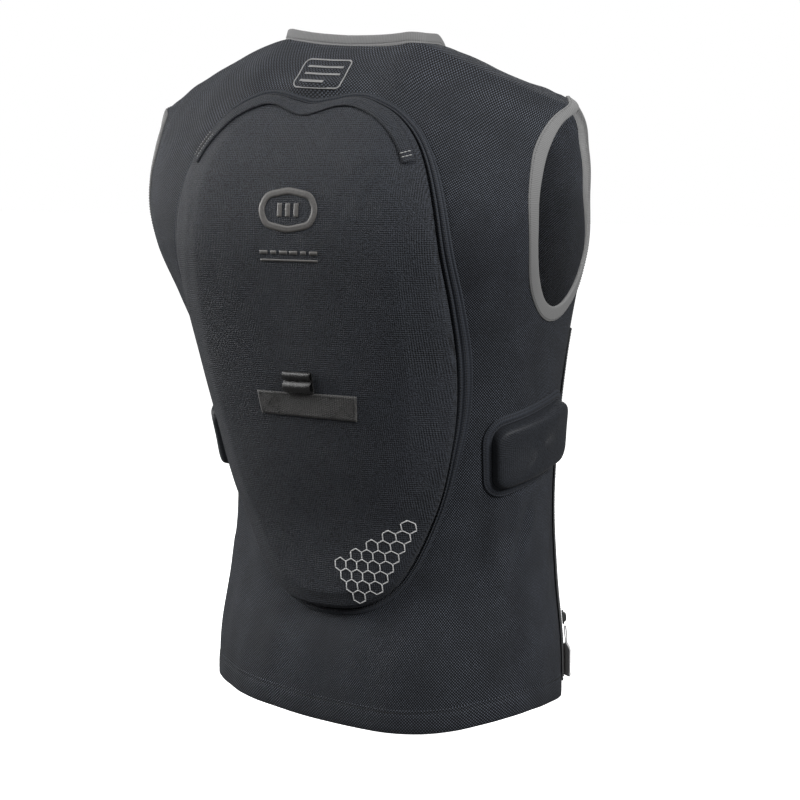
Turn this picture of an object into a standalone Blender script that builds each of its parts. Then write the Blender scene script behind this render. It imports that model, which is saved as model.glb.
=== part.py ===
"""Sleeveless protective vest in the shape it has when worn: knitted body, back protector in a
pocket, two side pads, bound neck and armholes, and a zip down the wearer's right side.

The front looks along -Y, the back along +Y, the wearer's right is -X and up is +Z. The form is
worked out above the hem and then shifted, so that the origin lies on the line over the shoulders.
"""

import math

import bmesh
import bpy
import numpy as np

# Main sizes in metres
LENGTH = 0.632            # hem to the top of the shoulders
HALF_WIDTH = 0.222        # half of the width over the shoulders
REACH = 0.160             # how far the back stands behind the plane through the hem's middle
WALL = 0.0020             # knitted body
GAP = 0.0004              # left between pieces that touch
CLEAR = 0.0008            # strips and borders stand this far off the true form, over its facets
PANEL_CLEAR = 0.0018      # the protector, which spans wider facets
AROUND = 48               # columns of the body's grid
HEM_RISE = 0.0225         # the hem is this much higher at the sides
HEM_TILT = 0.005          # and this much higher on the wearer's left, lower on the right

# The line over the shoulders. The origin lies on it, midway between the sides of the neck.
CREST = 0.375             # share of REACH at which the line runs
CREST_Y = CREST * REACH
MOUNT_Y = CREST_Y
MOUNT_Z = LENGTH - 0.004

# Sections of the body. Height is a share of LENGTH, half width of HALF_WIDTH, and back, side and
# front of REACH. The last two columns say how square the back half and the front half are.
SECTION_COLUMNS = ("height", "half_width", "back", "side", "front", "back_square", "front_square")
SECTIONS = (
    (0.000, 0.802, 0.770, 0.070, -0.630, 2.3, 2.3),
    (0.095, 0.797, 0.735, 0.065, -0.635, 2.3, 2.3),
    (0.206, 0.757, 0.640, 0.045, -0.640, 2.3, 2.3),
    (0.316, 0.734, 0.625, 0.020, -0.645, 2.3, 2.3),
    (0.427, 0.757, 0.738, 0.040, -0.660, 2.4, 2.3),
    (0.538, 0.815, 0.856, 0.112, -0.662, 2.6, 2.3),
    (0.641, 0.888, 0.944, 0.200, -0.662, 2.9, 2.3),
    (0.741, 0.958, 1.000, 0.275, -0.612, 3.1, 2.4),
    (0.836, 1.000, 0.950, 0.325, -0.438, 3.1, 2.7),
    (0.913, 1.015, 0.820, 0.356, -0.240, 3.0, 3.4),
    (0.968, 1.022, 0.660, 0.372, -0.030, 2.6, 3.8),
    (1.000, 1.022, 0.462, 0.375, 0.220, 2.4, 3.6),
)

# Neck opening, seen from above
NECK_HALF_WIDTH = 0.090
NECK_BACK, NECK_FRONT = 0.026, 0.090    # reach behind and before the line over the shoulders
NECK_SQUARE = 2.8
NECK_POINTS = 48
# Upright band round the neck. Its section goes outward in shares of the reach and upward in
# shares of the height, both from the edge of the cloth.
NECK_BAND_REACH, NECK_BAND_HEIGHT = 0.0048, 0.0100
NECK_BAND_COLUMNS = ("outward", "upward")
NECK_BAND = ((0.00, -0.29), (0.00, 0.11), (-0.42, 0.93), (-0.71, 1.00), (-1.00, 0.93),
             (-0.62, 0.07), (-0.62, -0.29))

# The shoulders fall away from the neck to the armholes
NECK_FLAT = NECK_HALF_WIDTH - 0.020     # half of the level part in the middle
SHOULDER_SLOPE = 0.45
SHOULDER_ROUND = 0.020
SLOPE_FROM, SLOPE_FULL = 0.522, 0.886   # shares of LENGTH between which the slope sets in

# Large folds and hollows of the cloth. Angles run from the wearer's left (0) over the back (90).
# Heights are shares of LENGTH and depths of FOLD_DEPTH, outward where they are above zero.
FOLD_DEPTH = 0.0035
FOLD_COLUMNS = ("angle", "height", "half_angle", "half_height", "slant", "depth")
FOLDS = (
    (139, 0.260, 9, 0.085, 95, -1.00),
    (43, 0.270, 9, 0.090, -95, -0.85),
    (152, 0.200, 7, 0.120, 20, 0.70),
    (30, 0.190, 7, 0.120, -20, 0.70),
    (112, 0.060, 11, 0.070, 0, 0.70),
    (66, 0.055, 11, 0.070, 0, 0.85),
    (262, 0.170, 16, 0.120, 0, -0.85),
    (300, 0.100, 12, 0.110, 0, 0.70),
    (236, 0.110, 12, 0.110, 0, 0.70),
)

# Armhole, seen from the side; it leans forward towards its lower end. Its upper end lies a little
# above the tip of the shoulder, so that it cuts the tip off.
ARM_HALF_DEPTH = 0.062
ARM_UP, ARM_DOWN = 0.089, 0.094
ARM_LEAN = 0.10
ARM_FORWARD = 0.017       # the armhole's middle lies this much before the line over the shoulders
ARM_OVER_TIP = 0.0045
ARM_SQUARE_UP, ARM_SQUARE_DOWN = 1.90, 2.2
ARM_POINTS = 44
# Binding of the armhole. Where the cloth slants, the width seen from the side is a share of it.
BINDING_WIDTH = 0.0125
BINDING_SHARES = {"half_depth": 0.68, "up": 0.44, "down": 1.00}
BINDING_WALL = 0.0034
BINDING_PROUD = 0.0007

# Back protector: outline from the middle of the lower end up to the middle of the upper end, in
# shares of the half width and of the height
PANEL_HEIGHT = 0.471
PANEL_BELOW_TOP = 0.055   # from the top of the shoulders down to the protector's upper end
PANEL_HIGH = LENGTH - PANEL_BELOW_TOP
PANEL_LOW = PANEL_HIGH - PANEL_HEIGHT
PANEL_HALF_WIDTH = 0.141
PANEL_OUTLINE_COLUMNS = ("half_width", "height")
PANEL_OUTLINE = (
    (0.000, 0.000), (0.300, 0.014), (0.520, 0.072), (0.700, 0.192), (0.835, 0.318),
    (0.935, 0.440), (0.992, 0.565), (1.000, 0.690), (0.955, 0.808), (0.835, 0.905),
    (0.650, 0.968), (0.450, 0.997), (0.300, 1.003), (0.140, 0.995), (0.000, 0.989),
)
# Thickness at the edge and on the face, in shares of PANEL_THICK; it spans the hollow of the back
PANEL_THICK = 0.030
PANEL_SHAPE_COLUMNS = ("height", "edge", "face")
PANEL_SHAPE = (
    (0.000, 0.300, 0.500), (0.090, 0.467, 0.733), (0.220, 0.600, 1.000), (0.380, 0.400, 0.900),
    (0.550, 0.233, 0.767), (0.750, 0.200, 0.700), (0.900, 0.200, 0.533), (1.000, 0.167, 0.267),
)
# Rings of the protector from the edge to the middle: share of width, share of height and share of
# the way from the edge's thickness to the full thickness
PANEL_RING_COLUMNS = ("across", "along", "rise")
PANEL_RINGS = (
    (1.000, 1.000, 0.00), (0.975, 0.990, 0.24), (0.740, 0.940, 0.97), (0.660, 0.830, 1.00),
    (0.560, 0.710, 1.00), (0.460, 0.580, 1.00), (0.360, 0.450, 1.00), (0.260, 0.320, 1.00),
    (0.160, 0.190, 1.00), (0.060, 0.070, 1.00),
)
PANEL_POINTS = 52

# Flat border round the protector, and the covered zip along its upper edge
BORDER_WALL = 0.0018
BORDER_WIDTH = 0.011
BORDER_COLUMNS = ("height", "width")
BORDER_SHARES = ((0.00, 0.45), (0.25, 0.64), (0.45, 1.00), (0.80, 1.00), (1.00, 0.55))
POCKET_ZIP_INSET, POCKET_ZIP_WIDTH = 0.0012, 0.0105
POCKET_ZIP_WALL, POCKET_ZIP_CLEAR = 0.0012, 0.0010
POCKET_ZIP_FROM = 0.885   # share of the protector's height from which the zip follows the edge

# Woven strip and folded tape loop on the protector
STRIP_LENGTH, STRIP_WIDTH, STRIP_WALL = 0.104, 0.025, 0.0012
STRIP_BELOW_TOP = 0.2685  # from the protector's upper end down to the strip's middle line
STRIP_Z = PANEL_HIGH - STRIP_BELOW_TOP
LOOP_WIDTH, LOOP_HEIGHT, LOOP_DEPTH, LOOP_WALL = 0.029, 0.0185, 0.0075, 0.0010
# Outline of the folded tape from the side: shares of its height and of its depth
LOOP_COLUMNS = ("upward", "outward")
LOOP_OUTLINE = ((0.00, 0.00), (1.00, 0.00), (1.06, 0.40), (0.89, 0.90), (0.68, 1.00),
                (0.16, 0.80), (0.00, 0.45))

# Side pads: from the rear edge forwards along the body, and up from the pad's middle line
PAD_REAR_ANGLE = 145.5    # where the rear edge of a pad's border lies on the wearer's right
PAD_LENGTH, PAD_HEIGHT = 0.108, 0.076
PAD_MIDDLE_Z = 0.250      # at the rear edge
PAD_RISE = 0.028          # the front end is this much higher
PAD_BORDER = 0.0090
PAD_CORNER = 0.016
PAD_THICK = 0.0135
PAD_RINGS = ((1.000, 1.000, 0.30), (0.975, 0.955, 0.72), (0.900, 0.830, 0.97), (0.820, 0.720, 1.00),
             (0.420, 0.360, 1.00))
PAD_RING_COLUMNS = ("along", "across", "rise")
PAD_POINTS = 36

# Side zip on the wearer's right, from near the hem to below the armhole
ZIP_ANGLE_LOW, ZIP_ANGLE_HIGH = 203.0, 210.0
ZIP_LOW = 0.030
ZIP_BELOW_ARM = 0.0095
ZIP_WIDTH, ZIP_TAPE_WALL = 0.0220, 0.0010
TEETH_WIDTH, TEETH_HEIGHT = 0.0056, 0.0026
SLIDER_WIDTH, SLIDER_HEIGHT, SLIDER_THICK = 0.0096, 0.0140, 0.0042
SLIDER_OVER_END = 0.058   # above the zip's lower end
CORD_LENGTH, CORD_RADIUS = 0.0160, 0.0009
TAB_WIDTH, TAB_HEIGHT, TAB_WALL = 0.0170, 0.0320, 0.0026
TAB_STAND_OFF = 0.0085    # from the body's form to the tab's middle
TAB_TURN = 35.0           # degrees by which the tab is turned out from the body
# Rows of the tab from the cord down: height, width and wall in shares of the tab's sizes
TAB_COLUMNS = ("down", "width", "wall")
TAB_ROWS = ((0.03, 0.45, 1.0), (0.11, 0.92, 1.0), (0.19, 1.00, 1.0), (0.94, 1.00, 1.0),
            (1.00, 0.88, 0.8))


def smoothstep(value, low, high):
    t = np.clip((value - low) / (high - low), 0.0, 1.0)
    return t * t * (3.0 - 2.0 * t)


def table(rows, value):
    """Every column after the first, as smooth curves through the rows."""
    rows = np.asarray(rows, float)
    keys = rows[:, 0]
    value = np.clip(np.asarray(value, float), keys[0], keys[-1])
    k = np.clip(np.searchsorted(keys, value) - 1, 0, len(keys) - 2)
    step = keys[k + 1] - keys[k]
    t = (value - keys[k]) / step
    out = []
    for column in rows[:, 1:].T:
        slope = np.gradient(column, keys)
        out.append((2 * t**3 - 3 * t**2 + 1) * column[k] + (t**3 - 2 * t**2 + t) * step * slope[k]
                   + (3 * t**2 - 2 * t**3) * column[k + 1] + (t**3 - t**2) * step * slope[k + 1])
    return out


def shoulder_drop(x):
    beyond = np.maximum(np.abs(x) - NECK_FLAT, 0.0)
    return SHOULDER_SLOPE * (np.sqrt(beyond**2 + SHOULDER_ROUND**2) - SHOULDER_ROUND)


def slope_share(z):
    return smoothstep(z / LENGTH, SLOPE_FROM, SLOPE_FULL)


# Heights that follow from the shoulder's tip
ARM_Z = (LENGTH - float(shoulder_drop(SECTIONS[-1][1] * HALF_WIDTH))) + ARM_OVER_TIP - ARM_UP
ZIP_HIGH = ARM_Z - ARM_DOWN - BINDING_WIDTH - ZIP_BELOW_ARM
SLIDER_Z = ZIP_LOW + SLIDER_OVER_END


def section(height):
    """Half width, back, side and front in metres, and the two squarenesses."""
    half_width, back, side, front, back_square, front_square = table(SECTIONS, height / LENGTH)
    return (half_width * HALF_WIDTH, back * REACH, side * REACH, front * REACH,
            back_square, front_square)


def plain_point(angle, height):
    """The body's form without its folds; angle in radians from +X over the back."""
    angle, height = np.broadcast_arrays(np.asarray(angle, float), np.asarray(height, float))
    half_width, back, side, front, back_square, front_square = section(height)
    c, s = np.cos(angle), np.sin(angle)
    square = np.where(s >= 0, back_square, front_square)
    x = half_width * np.sign(c) * np.abs(c) ** (2 / square)
    y = side + np.where(s >= 0, back - side, side - front) * np.sign(s) * np.abs(s) ** (2 / square)
    z = height.copy()
    for _ in range(24):
        z = height - shoulder_drop(x) * slope_share(z)
    return np.stack([x, y, z], -1)


def fold_depth(angle, height):
    share = np.asarray(height, float) / LENGTH
    degrees = np.degrees(np.asarray(angle, float)) % 360.0
    total = np.zeros(np.broadcast(degrees, share).shape)
    for at, level, half_angle, half_height, slant, depth in FOLDS:
        across = (degrees - at - slant * (share - level)) / half_angle
        along = (share - level) / half_height
        total = total + FOLD_DEPTH * depth * np.exp(-across**2 - along**2)
    return total


def normal(angle, height):
    """Outward direction of the form, with its folds left out."""
    step = 1e-3
    around = plain_point(angle + step, height) - plain_point(angle - step, height)
    upward = (plain_point(angle, np.minimum(height + step, LENGTH))
              - plain_point(angle, height - step))
    n = np.cross(around, upward)
    return n / np.linalg.norm(n, axis=-1, keepdims=True)


def body_point(angle, height, off=0.0):
    lift = fold_depth(angle, height) + off
    return plain_point(angle, height) + normal(angle, height) * np.asarray(lift)[..., None]


def back_angle(x, z):
    """Angle and height of the spot on the back that has this x and z."""
    x, z = np.broadcast_arrays(np.asarray(x, float), np.asarray(z, float))
    height = z + shoulder_drop(x) * slope_share(z)
    half_width, _, _, _, square, _ = section(height)
    c = np.sign(x) * np.minimum(np.abs(x / half_width), 1.0) ** (square / 2)
    return np.arccos(c), height


def on_back(x, z, off=0.0):
    angle, height = back_angle(x, z)
    return body_point(angle, height, off)


def top_height(x, y):
    """Height z of the cloth over a spot near the neck, seen from above."""
    low, high = 0.70 * LENGTH, LENGTH - shoulder_drop(x)
    for _ in range(40):
        z = 0.5 * (low + high)
        half_width, back, side, front, back_square, front_square = section(z + shoulder_drop(x))
        square = back_square if y >= CREST_Y else front_square
        flat = (1 - min(abs(x / half_width), 1.0) ** square) ** (1 / square)
        reach = side + (back - side) * flat if y >= CREST_Y else side - (side - front) * flat
        inside = y < reach if y >= CREST_Y else y > reach
        if inside:
            low = z
        else:
            high = z
    return 0.5 * (low + high)


def even_angles(count, square=2.6, aspect=0.62):
    """Angles whose spots are evenly spaced round a typical section."""
    fine = np.linspace(0.0, math.pi / 2, 2001)
    x = np.cos(fine) ** (2 / square)
    y = aspect * np.sin(fine) ** (2 / square)
    run = np.concatenate([[0.0], np.cumsum(np.hypot(np.diff(x), np.diff(y)))])
    quarter = np.interp(np.linspace(0.0, run[-1], count // 4 + 1), run, fine)
    half = np.concatenate([quarter, math.pi - quarter[-2::-1]])
    return np.concatenate([half, math.pi + half[1:-1]])


def oval(count, half_width, up, down, square, square_down=None):
    """Closed outline round a middle point, counter-clockwise, with its own reach up and down."""
    angle = np.linspace(0.0, 2 * math.pi, count, endpoint=False)
    c, s = np.cos(angle), np.sin(angle)
    square = np.where(s >= 0, square, square_down or square)
    across = half_width * np.sign(c) * np.abs(c) ** (2 / square)
    along = np.where(s >= 0, up, down) * np.sign(s) * np.abs(s) ** (2 / square)
    return np.stack([across, along], -1)


def new_object(name, vertices, faces, cutter=False):
    vertices = np.asarray(vertices, float) - (0.0, MOUNT_Y, MOUNT_Z)
    mesh = bpy.data.meshes.new(name)
    mesh.from_pydata([tuple(v) for v in vertices], [], [tuple(f) for f in faces])
    shape = bmesh.new()
    shape.from_mesh(mesh)
    bmesh.ops.recalc_face_normals(shape, faces=shape.faces)
    shape.to_mesh(mesh)
    shape.free()
    obj = bpy.data.objects.new(name, mesh)
    (cutters if cutter else parts).objects.link(obj)
    if cutter:
        obj.hide_render = True
        obj.display_type = "WIRE"
    return obj


def loft(name, rings, closed=False, cutter=False):
    """Rings of equal length joined one after the other; open ends are capped."""
    rings = [np.asarray(ring, float) for ring in rings]
    size = len(rings[0])
    count = len(rings)
    faces = []
    for k in range(count if closed else count - 1):
        low, high = k * size, (k + 1) % count * size
        for i in range(size):
            j = (i + 1) % size
            faces.append((low + i, low + j, high + j, high + i))
    if not closed:
        faces.append(tuple(range(size)))
        faces.append(tuple(range((count - 1) * size, count * size)))
    return new_object(name, np.concatenate(rings), faces, cutter)


def mirrored(name, source):
    """A copy on the other side of the wearer."""
    mesh = source.data.copy()
    mesh.name = name
    shape = bmesh.new()
    shape.from_mesh(mesh)
    for vertex in shape.verts:
        vertex.co.x = -vertex.co.x
    bmesh.ops.reverse_faces(shape, faces=shape.faces)
    shape.to_mesh(mesh)
    shape.free()
    obj = bpy.data.objects.new(name, mesh)
    parts.objects.link(obj)
    return obj


def thicken(obj, thickness, proud=0.0):
    solid = obj.modifiers.new("wall", "SOLIDIFY")
    solid.thickness = thickness
    solid.offset = -1.0 + 2.0 * proud / thickness
    solid.use_even_offset = True


def cut(obj, tool, operation="DIFFERENCE"):
    boolean = obj.modifiers.new(tool.name, "BOOLEAN")
    boolean.operation = operation
    boolean.solver = "EXACT"
    boolean.object = tool


def body_sheet(name):
    """Outer face of the body, closed over the shoulders and open at the hem."""
    angles = even_angles(AROUND)
    shares = np.concatenate([np.linspace(0.0, 0.84, 19), (0.885, 0.925, 0.955, 0.978, 0.993, 1.0)])
    rows = []
    for share in shares:
        hem = HEM_RISE * np.cos(angles) ** 2 + HEM_TILT * np.cos(angles)
        height = share * LENGTH + hem * (1 - share) ** 3
        rows.append(body_point(angles, height))
    faces = []
    for k in range(len(rows) - 1):
        for i in range(AROUND):
            j = (i + 1) % AROUND
            faces.append((k * AROUND + i, k * AROUND + j,
                          (k + 1) * AROUND + j, (k + 1) * AROUND + i))
    last = (len(rows) - 1) * AROUND
    half = AROUND // 2
    faces.append((last, last + 1, last + AROUND - 1))
    for i in range(1, half - 1):
        faces.append((last + i, last + i + 1, last + AROUND - i - 1, last + AROUND - i))
    faces.append((last + half - 1, last + half, last + half + 1))
    return new_object(name, np.concatenate(rows), faces)


def neck_outline(grow=0.0):
    shape = oval(NECK_POINTS, NECK_HALF_WIDTH + grow, NECK_BACK + grow, NECK_FRONT + grow,
                 NECK_SQUARE)
    return shape + (0.0, CREST_Y)


def arm_outline(grow=0.0, clear=0.0):
    """Pairs of y and z round the armhole, grown by a share of the binding and a clearance."""
    margin = {key: share * grow + clear for key, share in BINDING_SHARES.items()}
    shape = oval(ARM_POINTS, ARM_HALF_DEPTH + margin["half_depth"], ARM_UP + margin["up"],
                 ARM_DOWN + margin["down"], ARM_SQUARE_UP, ARM_SQUARE_DOWN)
    y = CREST_Y - ARM_FORWARD + shape[:, 0] + ARM_LEAN * shape[:, 1]
    return np.stack([y, ARM_Z + shape[:, 1]], -1)


def arm_prism(name, outline, side):
    near, far = (side * 0.45 * HALF_WIDTH, side * 1.35 * HALF_WIDTH)
    rings = [[(x, y, z) for y, z in outline] for x in (near, far)]
    return loft(name, rings, cutter=True)


def arm_ring(name, inner, outer, side):
    near, far = (side * 0.45 * HALF_WIDTH, side * 1.35 * HALF_WIDTH)
    rings = [[(x, y, z) for y, z in outline]
             for outline, x in ((inner, near), (outer, near), (outer, far), (inner, far))]
    return loft(name, rings, closed=True, cutter=True)


def make_body_and_bindings():
    body = body_sheet("vest_body")
    thicken(body, WALL)
    neck = neck_outline(GAP)
    low, high = 0.75 * LENGTH, 1.15 * LENGTH
    cut(body, loft("neck_cutter", [[(x, y, z) for x, y in neck] for z in (low, high)], cutter=True))
    for label, side in (("right", -1), ("left", 1)):
        outer = arm_outline(BINDING_WIDTH, GAP)
        cut(body, arm_prism("armhole_cutter_" + label, outer, side))
        binding = body_sheet("armhole_binding_" + label)
        thicken(binding, BINDING_WALL, BINDING_PROUD)
        ring = arm_ring("armhole_ring_" + label, arm_outline(), arm_outline(BINDING_WIDTH), side)
        cut(binding, ring, "INTERSECT")


def make_neck_binding():
    outline = neck_outline()
    around = np.roll(outline, -1, axis=0) - np.roll(outline, 1, axis=0)
    outward = np.stack([around[:, 1], -around[:, 0]], -1)
    outward /= np.linalg.norm(outward, axis=1, keepdims=True)
    rings = []
    for (x, y), (out_x, out_y) in zip(outline, outward):
        z = top_height(x, y)
        section_spots = np.array(NECK_BAND) * (NECK_BAND_REACH, NECK_BAND_HEIGHT)
        rings.append([(x + out_x * out, y + out_y * out, z + up) for out, up in section_spots])
    loft("neck_binding", rings, closed=True)


def closed_curve(points, count):
    """Evenly spaced spots on a smooth closed curve through the points."""
    points = np.asarray(points, float)
    before, after, next_after = (np.roll(points, shift, axis=0) for shift in (1, -1, -2))
    t = np.linspace(0.0, 1.0, 24, endpoint=False)[None, :, None]
    p0, p1, p2, p3 = (p[:, None, :] for p in (before, points, after, next_after))
    fine = 0.5 * (2 * p1 + (p2 - p0) * t + (2 * p0 - 5 * p1 + 4 * p2 - p3) * t**2
                  + (3 * p1 - p0 - 3 * p2 + p3) * t**3)
    fine = fine.reshape(-1, 2)
    fine = np.concatenate([fine, fine[:1]])
    run = np.concatenate([[0.0], np.cumsum(np.linalg.norm(np.diff(fine, axis=0), axis=1))])
    at = np.linspace(0.0, run[-1], count, endpoint=False)
    return np.stack([np.interp(at, run, fine[:, k]) for k in (0, 1)], -1)


def panel_outline():
    """Spots x, z round the back protector, from the middle of its lower end."""
    half = np.array(PANEL_OUTLINE) * (PANEL_HALF_WIDTH, PANEL_HEIGHT)
    other = half[-2:0:-1] * (-1, 1)
    return closed_curve(np.concatenate([half, other]), PANEL_POINTS) + (0.0, PANEL_LOW)


def panel_height(z):
    """Edge thickness and full thickness of the protector at a height."""
    edge, face = table(PANEL_SHAPE, (z - PANEL_LOW) / PANEL_HEIGHT)
    return edge * PANEL_THICK, face * PANEL_THICK


def grown(outline, distance):
    """Outline moved outward along its own normals, for a counter-clockwise outline."""
    along = np.roll(outline, -1, axis=0) - np.roll(outline, 1, axis=0)
    out = np.stack([along[:, 1], -along[:, 0]], -1)
    out /= np.linalg.norm(out, axis=1, keepdims=True)
    return outline + out * np.reshape(distance, (-1, 1))


def make_cushion(name, under, over, middle_under, middle_over):
    """Closed body from the rings of its underside and its upper side, edge ring first."""
    rings = list(reversed(under)) + list(over)
    size = len(rings[0])
    faces = []
    for k in range(len(rings) - 1):
        for i in range(size):
            j = (i + 1) % size
            faces.append((k * size + i, k * size + j, (k + 1) * size + j, (k + 1) * size + i))
    low, high = len(rings) * size, len(rings) * size + 1
    last = (len(rings) - 1) * size
    for i in range(size):
        j = (i + 1) % size
        faces.append((low, j, i))
        faces.append((high, last + i, last + j))
    vertices = np.concatenate([np.concatenate(rings), [middle_under, middle_over]])
    return new_object(name, vertices, faces)


def make_protector():
    outline = panel_outline()
    middle = np.array([0.0, 0.5 * (PANEL_LOW + PANEL_HIGH)])
    under, over = [], []
    for across, along, rise in PANEL_RINGS:
        ring = middle + (outline - middle) * (across, along)
        edge, face = panel_height(ring[:, 1])
        under.append(on_back(ring[:, 0], ring[:, 1], PANEL_CLEAR))
        over.append(on_back(ring[:, 0], ring[:, 1], PANEL_CLEAR + edge + (face - edge) * rise))
    _, face = panel_height(middle[1])
    make_cushion("back_protector", under, over, on_back(0.0, middle[1], PANEL_CLEAR),
                 on_back(0.0, middle[1], PANEL_CLEAR + face))

    share = (outline[:, 1] - PANEL_LOW) / PANEL_HEIGHT
    width = table(BORDER_SHARES, share)[0] * BORDER_WIDTH
    inner, outer = grown(outline, np.full(len(outline), GAP)), grown(outline, width)
    rings = [on_back(edge[:, 0], edge[:, 1], CLEAR + lift)
             for edge, lift in ((inner, 0.0), (outer, 0.0), (outer, BORDER_WALL), (inner, BORDER_WALL))]
    loft("protector_border", rings, closed=True)


def make_pocket_zip():
    """Narrow covered zip on the bevel that follows the protector's upper edge."""
    outline = panel_outline()
    share = (outline[:, 1] - PANEL_LOW) / PANEL_HEIGHT
    middle = np.array([0.0, 0.5 * (PANEL_LOW + PANEL_HIGH)])
    path = outline[share > POCKET_ZIP_FROM] - middle
    path = path[np.argsort(np.arctan2(path[:, 0], path[:, 1]))]
    start, end = np.array(PANEL_RINGS[1]), np.array(PANEL_RINGS[2])
    rings = []
    for spot in path:
        bevel = np.linalg.norm(spot * (start[:2] - end[:2]))
        first = POCKET_ZIP_INSET / bevel
        last = min(0.97, first + POCKET_ZIP_WIDTH / bevel)
        corners = []
        for t in (first, last):
            across, along, rise = start + (end - start) * t
            x, z = middle + spot * (across, along)
            edge, face = panel_height(z)
            corners.append((x, z, PANEL_CLEAR + edge + (face - edge) * rise + POCKET_ZIP_CLEAR))
        (x0, z0, off0), (x1, z1, off1) = corners
        rings.append([on_back(x0, z0, off0), on_back(x1, z1, off1),
                      on_back(x1, z1, off1 + POCKET_ZIP_WALL),
                      on_back(x0, z0, off0 + POCKET_ZIP_WALL)])
    loft("pocket_zip", rings)


def make_strip_and_loop():
    """Sewn strip across the protector's face, with a folded tape loop over its upper edge."""
    base = PANEL_CLEAR + GAP
    rings = []
    for x in np.linspace(-STRIP_LENGTH / 2, STRIP_LENGTH / 2, 9):
        ring = []
        for side, lift in ((-1, 0), (1, 0), (1, 1), (-1, 1)):
            z = STRIP_Z + side * STRIP_WIDTH / 2
            off = base + panel_height(z)[1] + STRIP_WALL * lift
            ring.append(on_back(x, z, off))
        rings.append(ring)
    loft("reflective_strip", rings)

    low = STRIP_Z + STRIP_WIDTH / 2 + GAP
    outer = np.array(LOOP_OUTLINE) * (LOOP_HEIGHT, LOOP_DEPTH) + (low, 0.0)
    centre = outer.mean(axis=0)
    inner = centre + (outer - centre) * (1 - 2.4 * LOOP_WALL / LOOP_HEIGHT,
                                         1 - 2.4 * LOOP_WALL / LOOP_DEPTH)
    rings = []
    for outline, side in ((inner, -1), (outer, -1), (outer, 1), (inner, 1)):
        rings.append([on_back(side * LOOP_WIDTH / 2, z, base + panel_height(z)[1] + lift)
                      for z, lift in outline])
    loft("tape_loop", rings, closed=True)


def pad_frame():
    """Angle on the body for a distance forwards from a pad's rear edge, on the wearer's right."""
    angles = np.radians(np.linspace(PAD_REAR_ANGLE, PAD_REAR_ANGLE + 90, 361))
    spots = plain_point(angles, np.full(len(angles), PAD_MIDDLE_Z))
    run = np.concatenate([[0.0], np.cumsum(np.linalg.norm(np.diff(spots, axis=0), axis=1))])
    return angles, run


def on_side(along, up, off):
    angles, run = pad_frame()
    z = PAD_MIDDLE_Z + PAD_RISE * along / PAD_LENGTH + up
    return body_point(np.interp(along, run, angles), z, off)


def rounded_box(length, height, corner, count):
    half = np.array([length / 2, height / 2])
    spots = []
    for k, (sx, sz) in enumerate(((1, 1), (-1, 1), (-1, -1), (1, -1))):
        for turn in np.linspace(0.0, math.pi / 2, 6):
            angle = turn + k * math.pi / 2
            spots.append((sx * (half[0] - corner) + corner * math.cos(angle),
                          sz * (half[1] - corner) + corner * math.sin(angle)))
    spots = np.array(spots + spots[:1])
    run = np.concatenate([[0.0], np.cumsum(np.linalg.norm(np.diff(spots, axis=0), axis=1))])
    at = np.linspace(0.0, run[-1], count, endpoint=False)
    return np.stack([np.interp(at, run, spots[:, k]) for k in (0, 1)], -1)


def make_side_pads():
    length, height = PAD_LENGTH - 2 * PAD_BORDER, PAD_HEIGHT - 2 * PAD_BORDER
    outline = rounded_box(length, height, PAD_CORNER - PAD_BORDER * 0.5, PAD_POINTS)
    middle = PAD_LENGTH / 2

    def place(ring, off):
        return on_side(middle + ring[:, 0], ring[:, 1], off)

    under = [place(outline * (along, across), CLEAR) for along, across, _ in PAD_RINGS]
    over = [place(outline * (along, across), CLEAR + PAD_THICK * rise)
            for along, across, rise in PAD_RINGS]
    right = make_cushion("hip_pad_right", under, over, on_side(middle, 0.0, CLEAR),
                         on_side(middle, 0.0, CLEAR + PAD_THICK))
    inner = grown(outline, np.full(PAD_POINTS, GAP))
    outer = grown(outline, np.full(PAD_POINTS, PAD_BORDER))
    rings = [place(edge, CLEAR + lift)
             for edge, lift in ((inner, 0.0), (outer, 0.0), (outer, BORDER_WALL), (inner, BORDER_WALL))]
    border = loft("hip_pad_border_right", rings, closed=True)
    mirrored("hip_pad_left", right)
    mirrored("hip_pad_border_left", border)


def zip_frame(z):
    """Spot on the body, direction forwards along it and outward direction, on the zip's line."""
    share = (z - ZIP_LOW) / (ZIP_HIGH - ZIP_LOW)
    angle = math.radians(ZIP_ANGLE_LOW + (ZIP_ANGLE_HIGH - ZIP_ANGLE_LOW) * share)
    spot = body_point(angle, z)
    ahead = plain_point(angle + 0.02, z) - plain_point(angle - 0.02, z)
    return spot, ahead / np.linalg.norm(ahead), normal(angle, z)


def make_side_zip():
    tape, teeth = ZIP_WIDTH / 2, TEETH_WIDTH / 2
    half = ((tape, 0.0), (tape, ZIP_TAPE_WALL), (teeth, ZIP_TAPE_WALL), (teeth, TEETH_HEIGHT))
    outline = [(-a, o) for a, o in half] + [(a, o) for a, o in reversed(half)]
    rings = []
    for z in np.linspace(ZIP_LOW, ZIP_HIGH, 20):
        spot, ahead, out = zip_frame(z)
        rings.append([spot + ahead * a + out * (CLEAR + o) for a, o in outline])
    loft("side_zip", rings)

    spot, ahead, out = zip_frame(SLIDER_Z)
    base = CLEAR + TEETH_HEIGHT + GAP
    outline = oval(16, SLIDER_WIDTH / 2, SLIDER_HEIGHT / 2, SLIDER_HEIGHT / 2, 3.0)
    up = np.cross(out, ahead)
    up *= math.copysign(1.0, up[2])
    rings = [[spot + ahead * a * share + up * v * share + out * (base + lift * SLIDER_THICK)
              for a, v in outline] for share, lift in ((1.0, 0.0), (1.0, 0.7), (0.72, 1.0))]
    loft("zip_slider", rings)


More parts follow.
